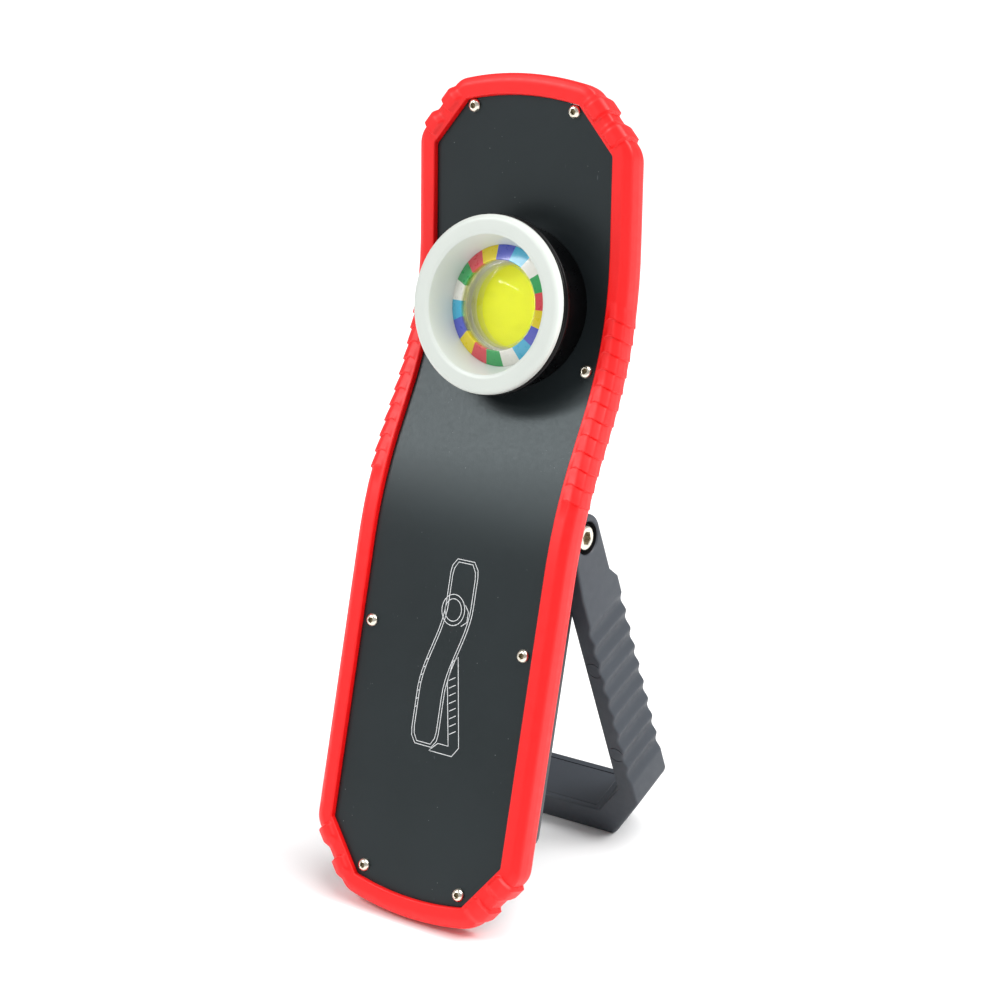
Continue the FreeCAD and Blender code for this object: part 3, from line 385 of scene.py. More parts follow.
def repainted(thing, place, material, chosen):
    """Gives one more material to the faces whose centre passes a test in a frame."""
    thing.data.materials.append(material)
    back = place.inverted()
    for face in thing.data.polygons:
        if chosen(back @ face.center):
            face.material_index = len(thing.data.materials) - 1
    return thing


def lathe_shape(profile, turns=96):
    """A closed profile of (radius, height) turned about Z."""
    rings = []
    for angle in round_angles(turns):
        way_x, way_y = math.cos(angle), math.sin(angle)
        rings.append([(spot[0] * way_x, spot[0] * way_y, spot[1]) for spot in profile])
    return skin(rings, closed=True)


def lathe(name, spots, place, materials, turns=96, paint=None, gap=None):
    """A turned object from profile corners (radius, height, rounding)."""
    profile = rounded(spots, 4)
    if gap:
        profile = spaced(profile, gap)
    return made_object(name, lathe_shape(profile, turns), place, materials, paint)


def drum(name, radius, low, high, place, turns=64):
    """A plain closed cylinder along Z, to cut with."""
    rings = []
    for height in (low, high):
        rings.append([(radius * math.cos(angle), radius * math.sin(angle), height)
                      for angle in round_angles(turns)])
    return made_object(name, skin(rings, caps=True), place, [])


def block_shape(outline, levels):
    """An outline stacked at (inset, height) levels: the outline is a function of the inset."""
    rings = [[(spot.x, spot.y, height) for spot in outline(inset)] for inset, height in levels]
    return skin(rings, caps=True)


def soft_rectangle(half_x, half_y, radius):
    """An outline function for a rectangle with rounded corners."""
    def outline(inset):
        x = half_x - inset
        y = half_y - inset
        r = max(0.05, radius - inset)
        return rounded([(-x, -y, r), (x, -y, r), (x, y, r), (-x, y, r)])
    return outline


def eased_levels(low, high, ease):
    """Levels for a block whose two ends have rounded edges."""
    made = []
    for step in range(4):
        angle = math.pi / 2.0 * step / 3
        made.append((ease * (1 - math.sin(angle)), low + ease * (1 - math.cos(angle))))
    return made + [(inset, low + high - height) for inset, height in reversed(made)]


# ---------- materials


def colour(red, green, blue):
    """A linear colour from a screen colour of 0 to 255."""
    made = []
    for value in (red, green, blue):
        share = value / 255.0
        made.append(share / 12.92 if share <= 0.04045 else ((share + 0.055) / 1.055) ** 2.4)
    return (*made, 1.0)


def tinted(shade, factor):
    return (shade[0] * factor, shade[1] * factor, shade[2] * factor, 1.0)


class Finish:
    """A node material in millimetre coordinates, built step by step."""

    def __init__(self, name, **settings):
        self.material = bpy.data.materials.new(name)
        self.material.use_nodes = True
        self.nodes = self.material.node_tree.nodes
        self.links = self.material.node_tree.links
        self.shader = self.nodes["Principled BSDF"]
        for socket, value in settings.items():
            self.shader.inputs[socket.replace("_", " ")].default_value = value
        self.spot = self.node("TexCoord", {}).outputs["Object"]
        self.spot = self.stretched(1 / MM, 1 / MM, 1 / MM)

    def node(self, kind, wired, **values):
        """A new node with some sockets wired up and others set."""
        node = self.nodes.new(f"ShaderNode{kind}")
        for socket, value in values.items():
            node.inputs[socket.replace("_", " ")].default_value = value
        for socket, source in wired.items():
            self.links.new(source, node.inputs[socket])
        return node

    def stretched(self, x, y, z):
        """Coordinates stretched along some axes, for brushed or scratched looks."""
        return self.node("Mapping", {"Vector": self.spot}, Scale=(x, y, z)).outputs["Vector"]

    def noise(self, scale, detail=3.0, rough=0.55, spot=None):
        wired = {"Vector": spot or self.spot}
        node = self.node("TexNoise", wired, Scale=scale, Detail=detail, Roughness=rough)
        return node.outputs["Fac"]

    def cells(self, scale, feature="F1"):
        node = self.node("TexVoronoi", {"Vector": self.spot}, Scale=scale)
        node.feature = feature
        return node.outputs["Distance"]

    def edges(self):
        return self.node("NewGeometry", {}).outputs["Pointiness"]

    def ranged(self, source, low, high, to_low=0.0, to_high=1.0):
        """A value's span from low to high, moved to another span and clamped there."""
        node = self.node("MapRange", {"Value": source}, From_Min=low, From_Max=high,
                         To_Min=to_low, To_Max=to_high)
        return node.outputs["Result"]

    def mixed(self, factor, first, second):
        """A colour between two others; each may be a colour or another node's output.

        The colour sockets of a Mix node are its inputs 6 and 7 and its output 2.
        """
        node = self.node("Mix", {})
        node.data_type = "RGBA"
        self.links.new(factor, node.inputs["Factor"])
        for socket, value in ((node.inputs[6], first), (node.inputs[7], second)):
            if isinstance(value, tuple):
                socket.default_value = value
            else:
                self.links.new(value, socket)
        return node.outputs[2]

    def times(self, first, second):
        node = self.node("Math", {0: first, 1: second})
        node.operation = "MULTIPLY"
        return node.outputs[0]

    def bump(self, source, tall):
        return self.node("Bump", {"Height": source}, Distance=tall * MM).outputs["Normal"]

    def set(self, socket, source):
        self.links.new(source, self.shader.inputs[socket])


def worn(name, shade, rough, grain=2.5, grain_tall=0.02, mottle=0.12, edge=1.25, **settings):
    """Moulded or coated surface: fine grain, soft mottling and slightly rubbed edges."""
    finish = Finish(name, Roughness=rough, **settings)
    cloud = finish.ranged(finish.noise(0.06), 0.35, 0.65)
    base = finish.mixed(cloud, tinted(shade, 1 - mottle), tinted(shade, 1 + mottle * 0.5))
    rub = finish.ranged(finish.edges(), 0.53, 0.62)
    finish.set("Base Color", finish.mixed(rub, base, tinted(shade, edge)))
    patches = finish.noise(0.35, 5.0)
    finish.set("Roughness", finish.ranged(patches, 0.3, 0.7, rough - 0.05, rough + 0.06))
    finish.set("Normal", finish.bump(finish.noise(grain, 2.0), grain_tall))
    return finish


def panel_finish():
    """Satin black coating with dust specks and a few hairline scratches."""
    shade = colour(26, 31, 33)
    finish = Finish("panel_black", Roughness=0.36, Specular_IOR_Level=0.38,
                    Specular_Tint=(0.84, 0.97, 1.0, 1.0))
    cloud = finish.ranged(finish.noise(0.035), 0.35, 0.65)
    base = finish.mixed(cloud, tinted(shade, 0.9), tinted(shade, 1.08))
    specks = finish.ranged(finish.cells(0.42), 0.07, 0.02)
    lines = finish.ranged(finish.noise(1.2, 2.0, 0.5, finish.stretched(1.0, 1.0, 0.03)), 0.73, 0.76)
    some = finish.ranged(finish.noise(0.09), 0.52, 0.62)
    marked = finish.times(lines, some)
    dusty = finish.times(specks, some)
    scratched = finish.mixed(marked, base, colour(60, 64, 68))
    finish.set("Base Color", finish.mixed(dusty, scratched, colour(120, 124, 127)))
    patches = finish.noise(0.9, 5.0)
    finish.set("Roughness", finish.ranged(patches, 0.3, 0.7, 0.34, 0.39))
    finish.set("Normal", finish.bump(finish.noise(5.0, 2.0), 0.006))
    return finish.material


def bumper_finish():
    """Satin silicone rubber, a little lighter where edges are rubbed."""
    shade = colour(238, 8, 9)
    return worn("bumper_red", shade, 0.45, 3.0, 0.008, 0.04, 1.06, Specular_IOR_Level=0.42).material


def stand_finish():
    """Grey moulded plastic with an even spark-eroded grain."""
    shade = colour(54, 59, 66)
    return worn("stand_grey", shade, 0.5, 4.0, 0.025, 0.06, 1.35, Specular_IOR_Level=0.4).material


def shell_finish():
    return worn("shell_black", colour(60, 63, 67), 0.5, 3.0, 0.03, 0.08, 1.5).material


def black_gloss(name, shade, rough):
    return worn(name, shade, rough, 2.0, 0.004, 0.1, 1.6, Specular_IOR_Level=0.2).material


def rubber(name, shade):
    return worn(name, shade, 0.6, 3.5, 0.02, 0.1, 1.3).material


def white_paint(name, shade, rough):
    return worn(name, shade, rough, 1.2, 0.003, 0.015, 1.0, Specular_IOR_Level=0.4).material


def field_finish(name, shade):
    """Printed colour field under a thin gloss lacquer, with a faint print dot."""
    finish = Finish(f"field_{name}", Roughness=0.3, Coat_Weight=0.6, Coat_Roughness=0.12)
    dots = finish.ranged(finish.cells(6.0), 0.1, 0.5)
    finish.set("Base Color", finish.mixed(dots, tinted(shade, 1.0), tinted(shade, 0.93)))
    finish.set("Roughness", finish.ranged(finish.noise(0.8), 0.3, 0.7, 0.25, 0.38))
    return finish.material


def glass_finish(name, shade, rough, cover=1.0):
    """Clear moulded lens with very faint flow waves."""
    finish = Finish(name, Roughness=rough, Transmission_Weight=1.0, IOR=1.3, Alpha=cover)
    finish.set("Base Color", finish.mixed(finish.noise(0.2), shade, tinted(shade, 0.985)))
    finish.set("Normal", finish.bump(finish.noise(0.25, 1.0), 0.012))
    return finish.material


def phosphor_finish():
    """Yellow silicone over the diodes, faintly pebbled, with a faint painted glow although the
    diodes are off.
    """
    shade = colour(238, 243, 8)
    finish = Finish("phosphor_yellow", Roughness=0.5, Emission_Strength=0.07)
    patches = finish.ranged(finish.noise(0.5, 4.0), 0.3, 0.7)
    tone = finish.mixed(patches, tinted(shade, 0.94), tinted(shade, 1.03))
    finish.set("Base Color", tone)
    # The emission is a painted glow in the silicone's own tone; the diodes are not lit.
    finish.set("Emission Color", tone)
    finish.set("Normal", finish.bump(finish.cells(1.6), 0.03))
    return finish.material


def metal(name, shade, rough, brushed=(1.0, 1.0, 1.0)):
    """Plated or turned metal with fine tool marks."""
    finish = Finish(name, Metallic=1.0, Roughness=rough)
    marks = finish.noise(1.5, 4.0, 0.6, finish.stretched(*brushed))
    finish.set("Base Color", finish.mixed(marks, tinted(shade, 0.9), tinted(shade, 1.05)))
    finish.set("Roughness", finish.ranged(marks, 0.3, 0.7, rough - 0.06, rough + 0.1))
    finish.set("Normal", finish.bump(marks, 0.004))
    return finish.material


def print_finish():
    """White screen print, slightly uneven in cover."""
    finish = Finish("panel_print", Roughness=0.5)
    cover = finish.ranged(finish.noise(2.5, 3.0), 0.3, 0.7)
    finish.set("Base Color", finish.mixed(cover, colour(190, 193, 195), colour(232, 234, 235)))
    finish.set("Normal", finish.bump(finish.noise(4.0), 0.004))
    return finish.material


def board_finish():
    """Solder mask over faint copper tracks."""
    finish = Finish("board_green", Roughness=0.35, Coat_Weight=0.4)
    tracks = finish.ranged(finish.cells(0.55, "DISTANCE_TO_EDGE"), 0.04, 0.07)
    finish.set("Base Color", finish.mixed(tracks, colour(30, 110, 60), colour(14, 74, 40)))
    finish.set("Normal", finish.bump(tracks, 0.02))
    return finish.material


RED = bumper_finish()
PANEL = panel_finish()
GREY = stand_finish()
SHELL = shell_finish()
NICKEL = metal("screw_nickel", colour(225, 219, 205), 0.22)
# Darker, browner, rougher metal painted into the screw sockets as painted shade.
SOCKET_SHADE = metal("socket_shade", colour(150, 138, 112), 0.6)
MAGNET = metal("magnet_nickel", colour(190, 190, 192), 0.3)
CONTACT = metal("contact_nickel", colour(205, 200, 188), 0.3, (1.0, 8.0, 1.0))
BRASS = metal("insert_brass", colour(212, 175, 95), 0.3)
SINK = metal("sink_aluminium", colour(200, 202, 205), 0.35, (1.0, 1.0, 6.0))
BARREL = black_gloss("barrel_black", colour(4, 4, 5), 0.3)
SWITCH = black_gloss("switch_black", colour(28, 28, 30), 0.35)
BUTTON = rubber("button_rubber", colour(38, 38, 40))
FLAP = rubber("flap_rubber", colour(40, 41, 43))
SEAL = rubber("seal_rubber", colour(22, 22, 23))
WHITE = white_paint("bezel_white", colour(205, 211, 205), 0.36)
HOLDER = white_paint("holder_white", colour(242, 243, 238), 0.4)
BOARD_WHITE = white_paint("board_white", colour(228, 228, 224), 0.45)
WASHER = worn("washer_nylon", colour(30, 30, 32), 0.5, 2.0, 0.01).material
SLEEVE = worn("cell_sleeve", colour(38, 96, 168), 0.3, 0.6, 0.02).material
WIRE = worn("wire_red", colour(196, 28, 24), 0.45, 1.5, 0.01).material
PIPE = glass_finish("light_pipe", colour(235, 238, 240), 0.25)
LENS = glass_finish("lens_clear", colour(252, 252, 252), 0.02, 0.35)
PHOSPHOR = phosphor_finish()
PRINT = print_finish()
BOARD = board_finish()
FIELDS = [field_finish(name, colour(*screen)) for name, screen in (
    ("white", (232, 230, 222)), ("green", (44, 160, 86)), ("red", (214, 66, 78)),
    ("yellow", (226, 204, 20)), ("blue", (74, 84, 190)), ("cyan", (58, 172, 208)))]

# ---------- panel and its print

PANEL_EDGE = [(0.0, 0.7), (0.0, 0.22), (0.06, 0.06), (0.22, 0.0), (PANEL_THICK, 0.0)]


def front_panel():
    """Sheet with the outline and both bends, with eased edges and the barrel's hole."""
    rows = []
    low = PANEL_FOOT - END_BOW + 0.05
    high = PANEL_HEAD + END_BOW - 0.05
    levels = [low + (high - low) * (1 - math.cos(math.pi * step / 150)) / 2 for step in range(151)]
    breaks = [PANEL_FOOT, PANEL_FOOT + FOOT_RISE, PANEL_HEAD - HEAD_DROP, PANEL_HEAD]
    for z in sorted(levels + breaks):
        half = max(0.9, half_width(z, -0.05))
        row = [(half - inset, side_y(z, depth), z) for depth, inset in PANEL_EDGE]
        mirror = [(-x, y, height) for x, y, height in reversed(row)]
        rows.append(row + mirror)
    panel = made_object("front_panel", skin(rows, caps=True), BODY, [PANEL])
    return carved(panel, [drum("bore", BARREL_RADIUS + 0.05, -40.0, 10.0, HEAD, 96)])


def ribbon_shape(lines, width, low, high):
    """Flat strokes along lines of (x, z) points, between two distances before the panel."""
    verts = []
    faces = []
    for line, closed in lines:
        count = len(line)
        start = len(verts)
        for place, spot in enumerate(line):
            before = line[place - 1] if closed or place else spot
            after = line[(place + 1) % count] if closed or place < count - 1 else spot
            way = (after - before).normalized()
            side = Vector((-way.y, way.x)) * width / 2.0
            for lift in (low, high):
                for sign in (-1.0, 1.0):
                    edge = spot + side * sign
                    verts.append((edge.x, -lift, edge.y))
        spans = count if closed else count - 1
        for place in range(spans):
            a = start + 4 * place
            b = start + 4 * ((place + 1) % count)
            faces.extend([(a, a + 1, b + 1, b), (a + 2, b + 2, b + 3, a + 3),
                          (a, b, b + 2, a + 2), (a + 1, a + 3, b + 3, b + 1)])
        if not closed:
            last = start + 4 * (count - 1)
            faces.extend([(start, start + 2, start + 3, start + 1),
                          (last, last + 1, last + 3, last + 2)])
    return verts, faces


def oval(x, z, across, tall):
    return [Vector((x + across * math.cos(angle), z + tall * math.sin(angle)))
            for angle in round_angles(40)]


ICON_FOOT, ICON_HEAD, ICON_HALF, ICON_LINE, ICON_GAP = -1.0, 52.5, 4.7, 0.22, 0.8


def icon_middle(z):
    """Middle of the pictogram's lamp body, which waves once on its way up."""
    return -2.6 + 5.6 * smooth(z, 14.0, 40.0)


def icon_bar(inset):
    """The pictogram's lamp body: a slim bar, narrower by an inset."""
    spots = []
    foot, head, half = ICON_FOOT + inset, ICON_HEAD - inset, ICON_HALF - inset
    heights = [foot + (head - foot) * step / 26.0 for step in range(27)]
    for side, row in ((1.0, heights), (-1.0, reversed(heights))):
        for z in row:
            end = min(1.0, (z - foot) / 3.0, (head - z) / 3.0)
            wide = half * (0.62 + 0.38 * math.sqrt(max(0, end)))
            spots.append(Vector((icon_middle(z) + side * wide, z)))
    return spots


def line_of(*spots):
    return [Vector(spot) for spot in spots]


def panel_print():
    """A plain line pictogram of a lamp on a stand, printed on the panel's flat foot."""
    lines = [(icon_bar(0.0), True), (icon_bar(ICON_GAP), True)]
    lines += [(oval(1.0, 38.2, reach, reach * 1.12), True) for reach in (3.9, 2.8)]
    lines.append((line_of((4.9, 40.2), (6.2, 38.6), (6.2, 35.6), (4.4, 34.2)), False))
    leg = line_of((3.4, 24.0), (5.0, 25.6), (9.6, 0.8), (7.6, -2.0), (-0.4, -2.0),
                  (2.4, 0.6), (6.0, 0.6), (2.6, 18.0))
    lines.append((spaced(leg, 2.0), True))
    for step in range(8):
        z = 5.0 + 2.1 * step
        x = 9.0 - 0.185 * (z - 0.8)
        lines.append((line_of((x - 2.5, z - 1.1), (x - 0.4, z + 0.2)), False))
    for step in range(7):
        z = 9.0 + 2.3 * step
        x = icon_middle(z) - ICON_HALF
        lines.append((line_of((x, z), (x + 0.95, z + 0.55)), False))
    shape = ribbon_shape(lines, ICON_LINE, 0.004, 0.03)
    return made_object("panel_print", shape, BODY, [PRINT])


# ---------- bumper


def bumper_section():
    """Section corners as (outwards, behind the panel, rounding)."""
    wide, deep, front, rear = BUMPER_WIDTH, BUMPER_DEEP, -BUMPER_PROUD, FLANGE_BACK + 0.05
    return [
        (0.0, PANEL_THICK - 0.05, 0.0), (0.0, front, 0.5), (3.7, front, 3.0),
        (wide - 0.2, -0.4, 2.4), (wide - 0.04, 1.2, 1.0), (wide + 0.02, 2.55, 0.15),
        (wide + 0.02, 2.9, 0.15), (wide - 0.12, deep - 1.15, 1.2), (wide - 0.5, deep, 0.35),
        (SKIRT_START, deep, 0.2), (SKIRT_START, rear, 0.0), (FLANGE_WIDTH, rear, 0.0),
        (FLANGE_WIDTH, PANEL_THICK, 0.0), (0.02, PANEL_THICK, 0.0),
    ]


def rib_height(z):
    """Saw-tooth grip: each rib swells downwards and then steps back in."""
    place = (z - RIB_FOOT) / RIB_PITCH
    if place < 0 or place > RIB_COUNT:
        return 0.0
    share = place - math.floor(place)
    return RIB_TALL * smooth(share, 0.0, 0.09) * (1.0 - share) ** 0.8 - 0.1


def lug_height(along, girth, start, gap):
    """Two finger pads across each cut corner: a soft rise, then a step towards the middle."""
    best = 0.0
    for middle in (-gap, gap):
        ahead = along - middle
        reach = math.hypot(max(0.0, ahead), max(0.0, start - girth))
        rise = smooth(ahead, -LUG_RADIUS - 0.8, -LUG_RADIUS + 2.0)
        best = max(best, rise * smooth(LUG_RADIUS - reach, 0.0, 0.45))
    return LUG_TALL * best


def rib_arch(along, out, depth):
    """How far up the side a rib's line is bowed, at a point of the bumper's section."""
    end = RIB_FOOT + RIB_COUNT * RIB_PITCH
    zone = smooth(along, RIB_FOOT - 6.0, RIB_FOOT) * (1 - smooth(along, end, end + 6.0))
    across = min(1.0, max(0.0, (out - 0.4) / (BUMPER_WIDTH - 0.4)))
    return zone * (RIB_ARCH * math.sin(math.pi * across ** 0.75) - 0.15 * max(0.0, depth))


def relief(kind, along, here, girth, start):
    """How far a rib or pad lifts the rubber at a point of the bumper's section."""
    rear = 1 - smooth(here.y, 4.9, 5.75)
    if kind == "side":
        fade = smooth(here.x, 0.8, 1.7) * rear
        return rib_height(along) * fade * (0.5 + 0.5 * smooth(here.x, 2.4, 4.8))
    if kind in ("end", "bend"):
        return 0.0
    gap = HEAD_LUG_GAP if kind == "head_lug" else FOOT_LUG_GAP
    return lug_height(along, girth, start, gap) * smooth(here.x, 0.5, 1.8) * rear


def bumper_frame():
    """Rubber frame swept round the panel's edge, with grip ribs and corner pads."""
    section = spaced(rounded(bumper_section(), 6), 0.4)
    girths = [0.0]
    for before, after in zip(section, section[1:]):
        girths.append(girths[-1] + (after - before).length)
    ways = []
    for place in range(len(section)):
        along = section[(place + 1) % len(section)] - section[place - 1]
        ways.append(Vector((-along.y, along.x)).normalized() * -1.0)
    start = next(girth for girth, spot in zip(girths, section) if spot.x > 2.4)
    rings = []
    for spot, normal, kind, along in outline_walk():
        ring = []
        for here, girth, way in zip(section, girths, ways):
            outside = here.x >= SKIRT_START + 0.1 or here.y <= 1.0
            tall = relief(kind, along, here, girth, start)
            moved = here + way * tall if outside else here
            flat = spot + normal * moved.x
            if kind == "side" and outside:
                flat.y += rib_arch(along, here.x, here.y)
            ring.append((flat.x, side_y(flat.y, moved.y), flat.y))
        rings.append(ring)
    return made_object("bumper_frame", skin(rings, closed=True), BODY, [RED], sharp=38.0)


# ---------- rear shell


def rear_y(z):
    """How far back the shell's rear wall lies at a height."""
    far = UPPER_BEND + SHELL_DEEP_HEAD
    high_end = UPPER_Z + far * lean_way(HEAD_ANGLE)[0]
    if z > high_end:
        drop = (z - high_end) * math.tan(math.radians(HEAD_ANGLE))
        return UPPER_Y + far * lean_way(HEAD_ANGLE)[1] - drop
    arc = UPPER_Y + math.sqrt(max(0.0, far * far - (z - UPPER_Z) ** 2))
    return arc if z > UPPER_Z else max(arc, SHELL_DEEP)


def shell_half(z):
    """Half the shell's width: inside the outline, and clear of the folded stand's corners."""
    slope = math.atan2(GUSSET_Z, GUSSET_X)
    start_x = ARM_INSIDE - GUSSET_GAP * math.sin(slope)
    start_z = PIVOT_Z - FOOT_REACH + FOOT_THICK + GUSSET_Z + GUSSET_GAP * math.cos(slope)
    limit = start_x - (start_z - z) / math.tan(slope)
    return min(half_width(z, -SHELL_INSET), limit)


def eased(value, z, low, high):
    """A function of height averaged over a short span, which rounds its corners."""
    spots = [min(high, max(low, z + span)) for span in (-1.2, -0.6, 0.0, 0.6, 1.2)]
    return min(value(z), sum(value(spot) for spot in spots) / 5.0)


def shell_rings(inset, front, low, high):
    """Cross-sections of the shell from its foot up."""
    rings = []
    levels = [low + (high - low) * step / 220.0 for step in range(221)]
    fine = [0.0, 0.1, 0.3, 0.6, 1.0, 1.5]
    levels = sorted(levels[2:-2] + [low + step for step in fine] + [high - step for step in fine])
    for z in levels:
        near = min(z - low, high - z, 1.5)
        tuck = 1.5 - math.sqrt(1.5 ** 2 - (1.5 - near) ** 2)
        half = max(3.0, eased(shell_half, z, low, high) - inset - tuck)
        back = eased(rear_y, z, low, high) - inset - tuck
        back -= max(0.0, 3.0 - (z - SHELL_FOOT)) if inset == 0 else 0.0
        face = side_y(z, front)
        ring = rounded([(half, face, 0.0), (half, back, 3.2), (-half, back, 3.2),
                        (-half, face, 0.0)], 7)
        rings.append([(spot.x, spot.y, z) for spot in ring])
    return skin(rings, caps=True)


def behind(x, z):
    """The body frame at a point of the rear wall's plane, Z pointing backwards."""
    return BODY @ shift(x, 0, z) @ REARWARDS


def rear_shell():
    """Rear case with rounded edges, hollow, with its openings."""
    top = PANEL_HEAD + END_BOW - SHELL_INSET - 0.25
    shape = shell_rings(0.0, PANEL_THICK, SHELL_FOOT, top)
    shell = made_object("rear_shell", shape, BODY, [SHELL], sharp=35.0)
    low = SHELL_FOOT + SHELL_WALL + 1.0
    inside = SHELL_DEEP - 4.0
    outside = SHELL_DEEP + 3.0
    flap_place = behind(0, USB_Z + USB_TALL / 2.0)
    flap_seat = soft_rectangle(FLAP_HALF + 0.3, FLAP_TALL / 2.0 + 0.3, 1.5)
    usb_seat = soft_rectangle(USB_HALF + 0.2, USB_TALL / 2.0 + 0.2, 0.8)
    openings = [
        drum("button_hole", BUTTON_RADIUS + 0.2, inside, outside, behind(0, BUTTON_Z)),
        drum("light_hole", LIGHT_RADIUS + 0.05, inside, outside,
             behind(LIGHT_X, USB_Z + LIGHT_RISE), 32),
        made_object("flap_seat", block_shape(
            flap_seat, [(0.0, SHELL_DEEP - FLAP_THICK - 0.1), (0.0, outside)]), flap_place, []),
        made_object("usb_hole", block_shape(
            usb_seat, [(0.0, inside), (0.0, outside)]), flap_place, []),
        made_object("cavity", shell_rings(SHELL_WALL, -4.0, low, top - SHELL_WALL), BODY, []),
    ]
    for opening in openings:
        carved(shell, [opening], 35.0)
    return shell


def power_button():
    """Rubber push button, dished, with a raised ring and dot."""
    top = SHELL_DEEP + BUTTON_PROUD
    dish = top - 0.35
    radius = BUTTON_RADIUS
    spots = [
        (AXIS_GAP, SHELL_DEEP - 3.6, 0.0), (radius + 1.0, SHELL_DEEP - 3.6, 0.2),
        (radius + 1.0, SHELL_DEEP - 2.3, 0.2), (radius, SHELL_DEEP - 2.3, 0.1),
        (radius, top, 0.7), (radius - 1.5, top, 0.3), (radius - 1.8, dish, 0.3),
        (2.0, dish, 0.3), (1.7, top, 0.3), (AXIS_GAP, top, 0.0),
    ]
    return lathe("power_button", spots, behind(0, BUTTON_Z), [BUTTON], 72)


def usb_cover():
    """Rubber flap over the charging socket, with a finger tab."""
    foot = SHELL_DEEP - FLAP_THICK
    place = behind(0, USB_Z + USB_TALL / 2.0)
    levels = eased_levels(foot, SHELL_DEEP, 0.3)
    outline = soft_rectangle(FLAP_HALF, FLAP_TALL / 2.0, 1.4)
    flap = made_object("usb_cover", block_shape(outline, levels), place, [FLAP])
    tab_place = place @ shift(0, -(FLAP_TALL / 2.0 - 1.0), 0)
    levels = eased_levels(SHELL_DEEP - 0.2, SHELL_DEEP + 0.8, 0.3)
    tab = made_object("flap_tab", block_shape(soft_rectangle(2.5, 0.8, 0.6), levels),
                      tab_place, [FLAP])
    return flap, tab


def charge_light():
    """Clear light pipe beside the charging socket."""
    foot = SHELL_DEEP - 5.6
    spots = [(AXIS_GAP, foot, 0.0), (LIGHT_RADIUS, foot, 0.1),
             (LIGHT_RADIUS, SHELL_DEEP, 0.35), (AXIS_GAP, SHELL_DEEP + 0.05, 0.0)]
    return lathe("charge_light", spots, behind(LIGHT_X, USB_Z + LIGHT_RISE), [PIPE], 32)


# ---------- screws


def hexed(radius, angle):
    """Reach of a hexagon with a given inner radius."""
    sector = math.pi / 3.0
    return radius / math.cos((angle + sector / 2.0) % sector - sector / 2.0)


def screw_shape(levels):
    """A screw from rings of (radius, height, hexagon share), the last ones its socket."""
    rings = []
    for radius, height, six in levels:
        reaches = [(radius * (1 - six) + hexed(radius, angle) * six, angle)
                   for angle in round_angles(72)]
        rings.append([(reach * math.cos(angle), reach * math.sin(angle), height)
                      for reach, angle in reaches])
    return skin(rings, caps=True)


def panel_screw(place, name, long):
    """Button-head screw with a hex socket, standing on the panel."""
    thread, head = SCREW_THREAD, SCREW_HEAD
    levels = [
        (thread - 0.05, -long, 0), (thread, -long + 0.2, 0), (thread, SCREW_LIFT, 0),
        (head - 0.12, SCREW_LIFT, 0), (head, 0.12, 0), (head, 0.34, 0), (head - 0.06, 0.55, 0),
        (1.66, 0.85, 0), (1.4, 1.1, 0), (1.12, 1.26, 0), (0.92, 1.31, 0.6), (0.8, 1.25, 1),
        (0.74, 1.16, 1), (0.7, 0.42, 1), (0.3, 0.36, 0.5),
    ]
    screw = made_object(name, screw_shape(levels), place, [NICKEL], sharp=40.0)
    return repainted(screw, place, SOCKET_SHADE, lambda spot: 0.3 < spot.z < 1.2 and spot.xy.length < 0.8)


def screw_spots():
    """(x, z, length) of the eight panel screws; the short ones end inside the panel."""
    rows = [(SCREW_END_X, -39.0, SCREW_SHORT), (SCREW_SIDE_X, 30.2, SCREW_LONG),
            (SCREW_SIDE_X, 109.0, SCREW_LONG), (SCREW_END_X, 178.0, SCREW_SHORT)]
    return [(x * side, z, long) for x, z, long in rows for side in (-1.0, 1.0)]


def panel_screws():
    made = []
    for count, (x, z, long) in enumerate(screw_spots()):
        slope = (side_y(z + 0.05) - side_y(z - 0.05)) / 0.1
        lean = math.degrees(math.atan(slope))
        place = BODY @ shift(x, side_y(z), z) @ turn_x(90 - lean)
        twist = Matrix.Rotation(count * 0.7, 4, "Z")
        made.append(panel_screw(place @ twist, f"panel_screw_{count + 1}", long))
    return made


def pivot_place(side):
    """At the pivot, Z pointing outwards."""
    base = BODY @ shift(0, PIVOT_Y, PIVOT_Z)
    return base @ Matrix.Rotation(math.radians(90 * side), 4, "Y")


def stand_screws():
    """Shoulder screws of the arms, with a wide hex socket."""
    wall = PANEL_HALF - SHELL_INSET
    under = ARM_OUTSIDE - 2.5
    top = under + 2.2
    head = PIVOT_HEAD
    levels = [
        (1.4, wall - 7.0, 0), (1.6, wall - 6.8, 0), (1.6, wall, 0), (SHOULDER, wall, 0),
        (SHOULDER, under, 0), (head - 0.15, under, 0), (head, under + 0.15, 0),
        (head, top - 0.55, 0), (head - 0.1, top - 0.3, 0), (head - 0.35, top - 0.1, 0),
        (head - 0.7, top, 0), (1.95, top, 0.7), (1.72, top - 0.12, 1), (1.66, top - 1.5, 1),
        (0.6, top - 1.6, 0.5),
    ]
    made = []
    for side in (-1, 1):
        place = pivot_place(side)
        name = f"stand_screw_{side + 2}"
        screw = made_object(name, screw_shape(levels), place, [NICKEL], sharp=40.0)
        made.append(repainted(screw, place, SOCKET_SHADE, lambda spot: spot.z > top - 1.7
                              and spot.xy.length < 1.75))
    return made


def pivot_washers():
    """Nylon washers between the shell and the arms."""
    low, high = PANEL_HALF - SHELL_INSET, ARM_INSIDE - 0.05
    bore, edge = SHOULDER + 0.05, PIVOT_HEAD + 2.0
    spots = [(bore, low, 0.02), (edge, low, 0.05), (edge, high, 0.05), (bore, high, 0.02)]
    return [lathe(f"pivot_washer_{side + 2}", spots, pivot_place(side), [WASHER], 64)
            for side in (-1, 1)]


# ---------- lens head


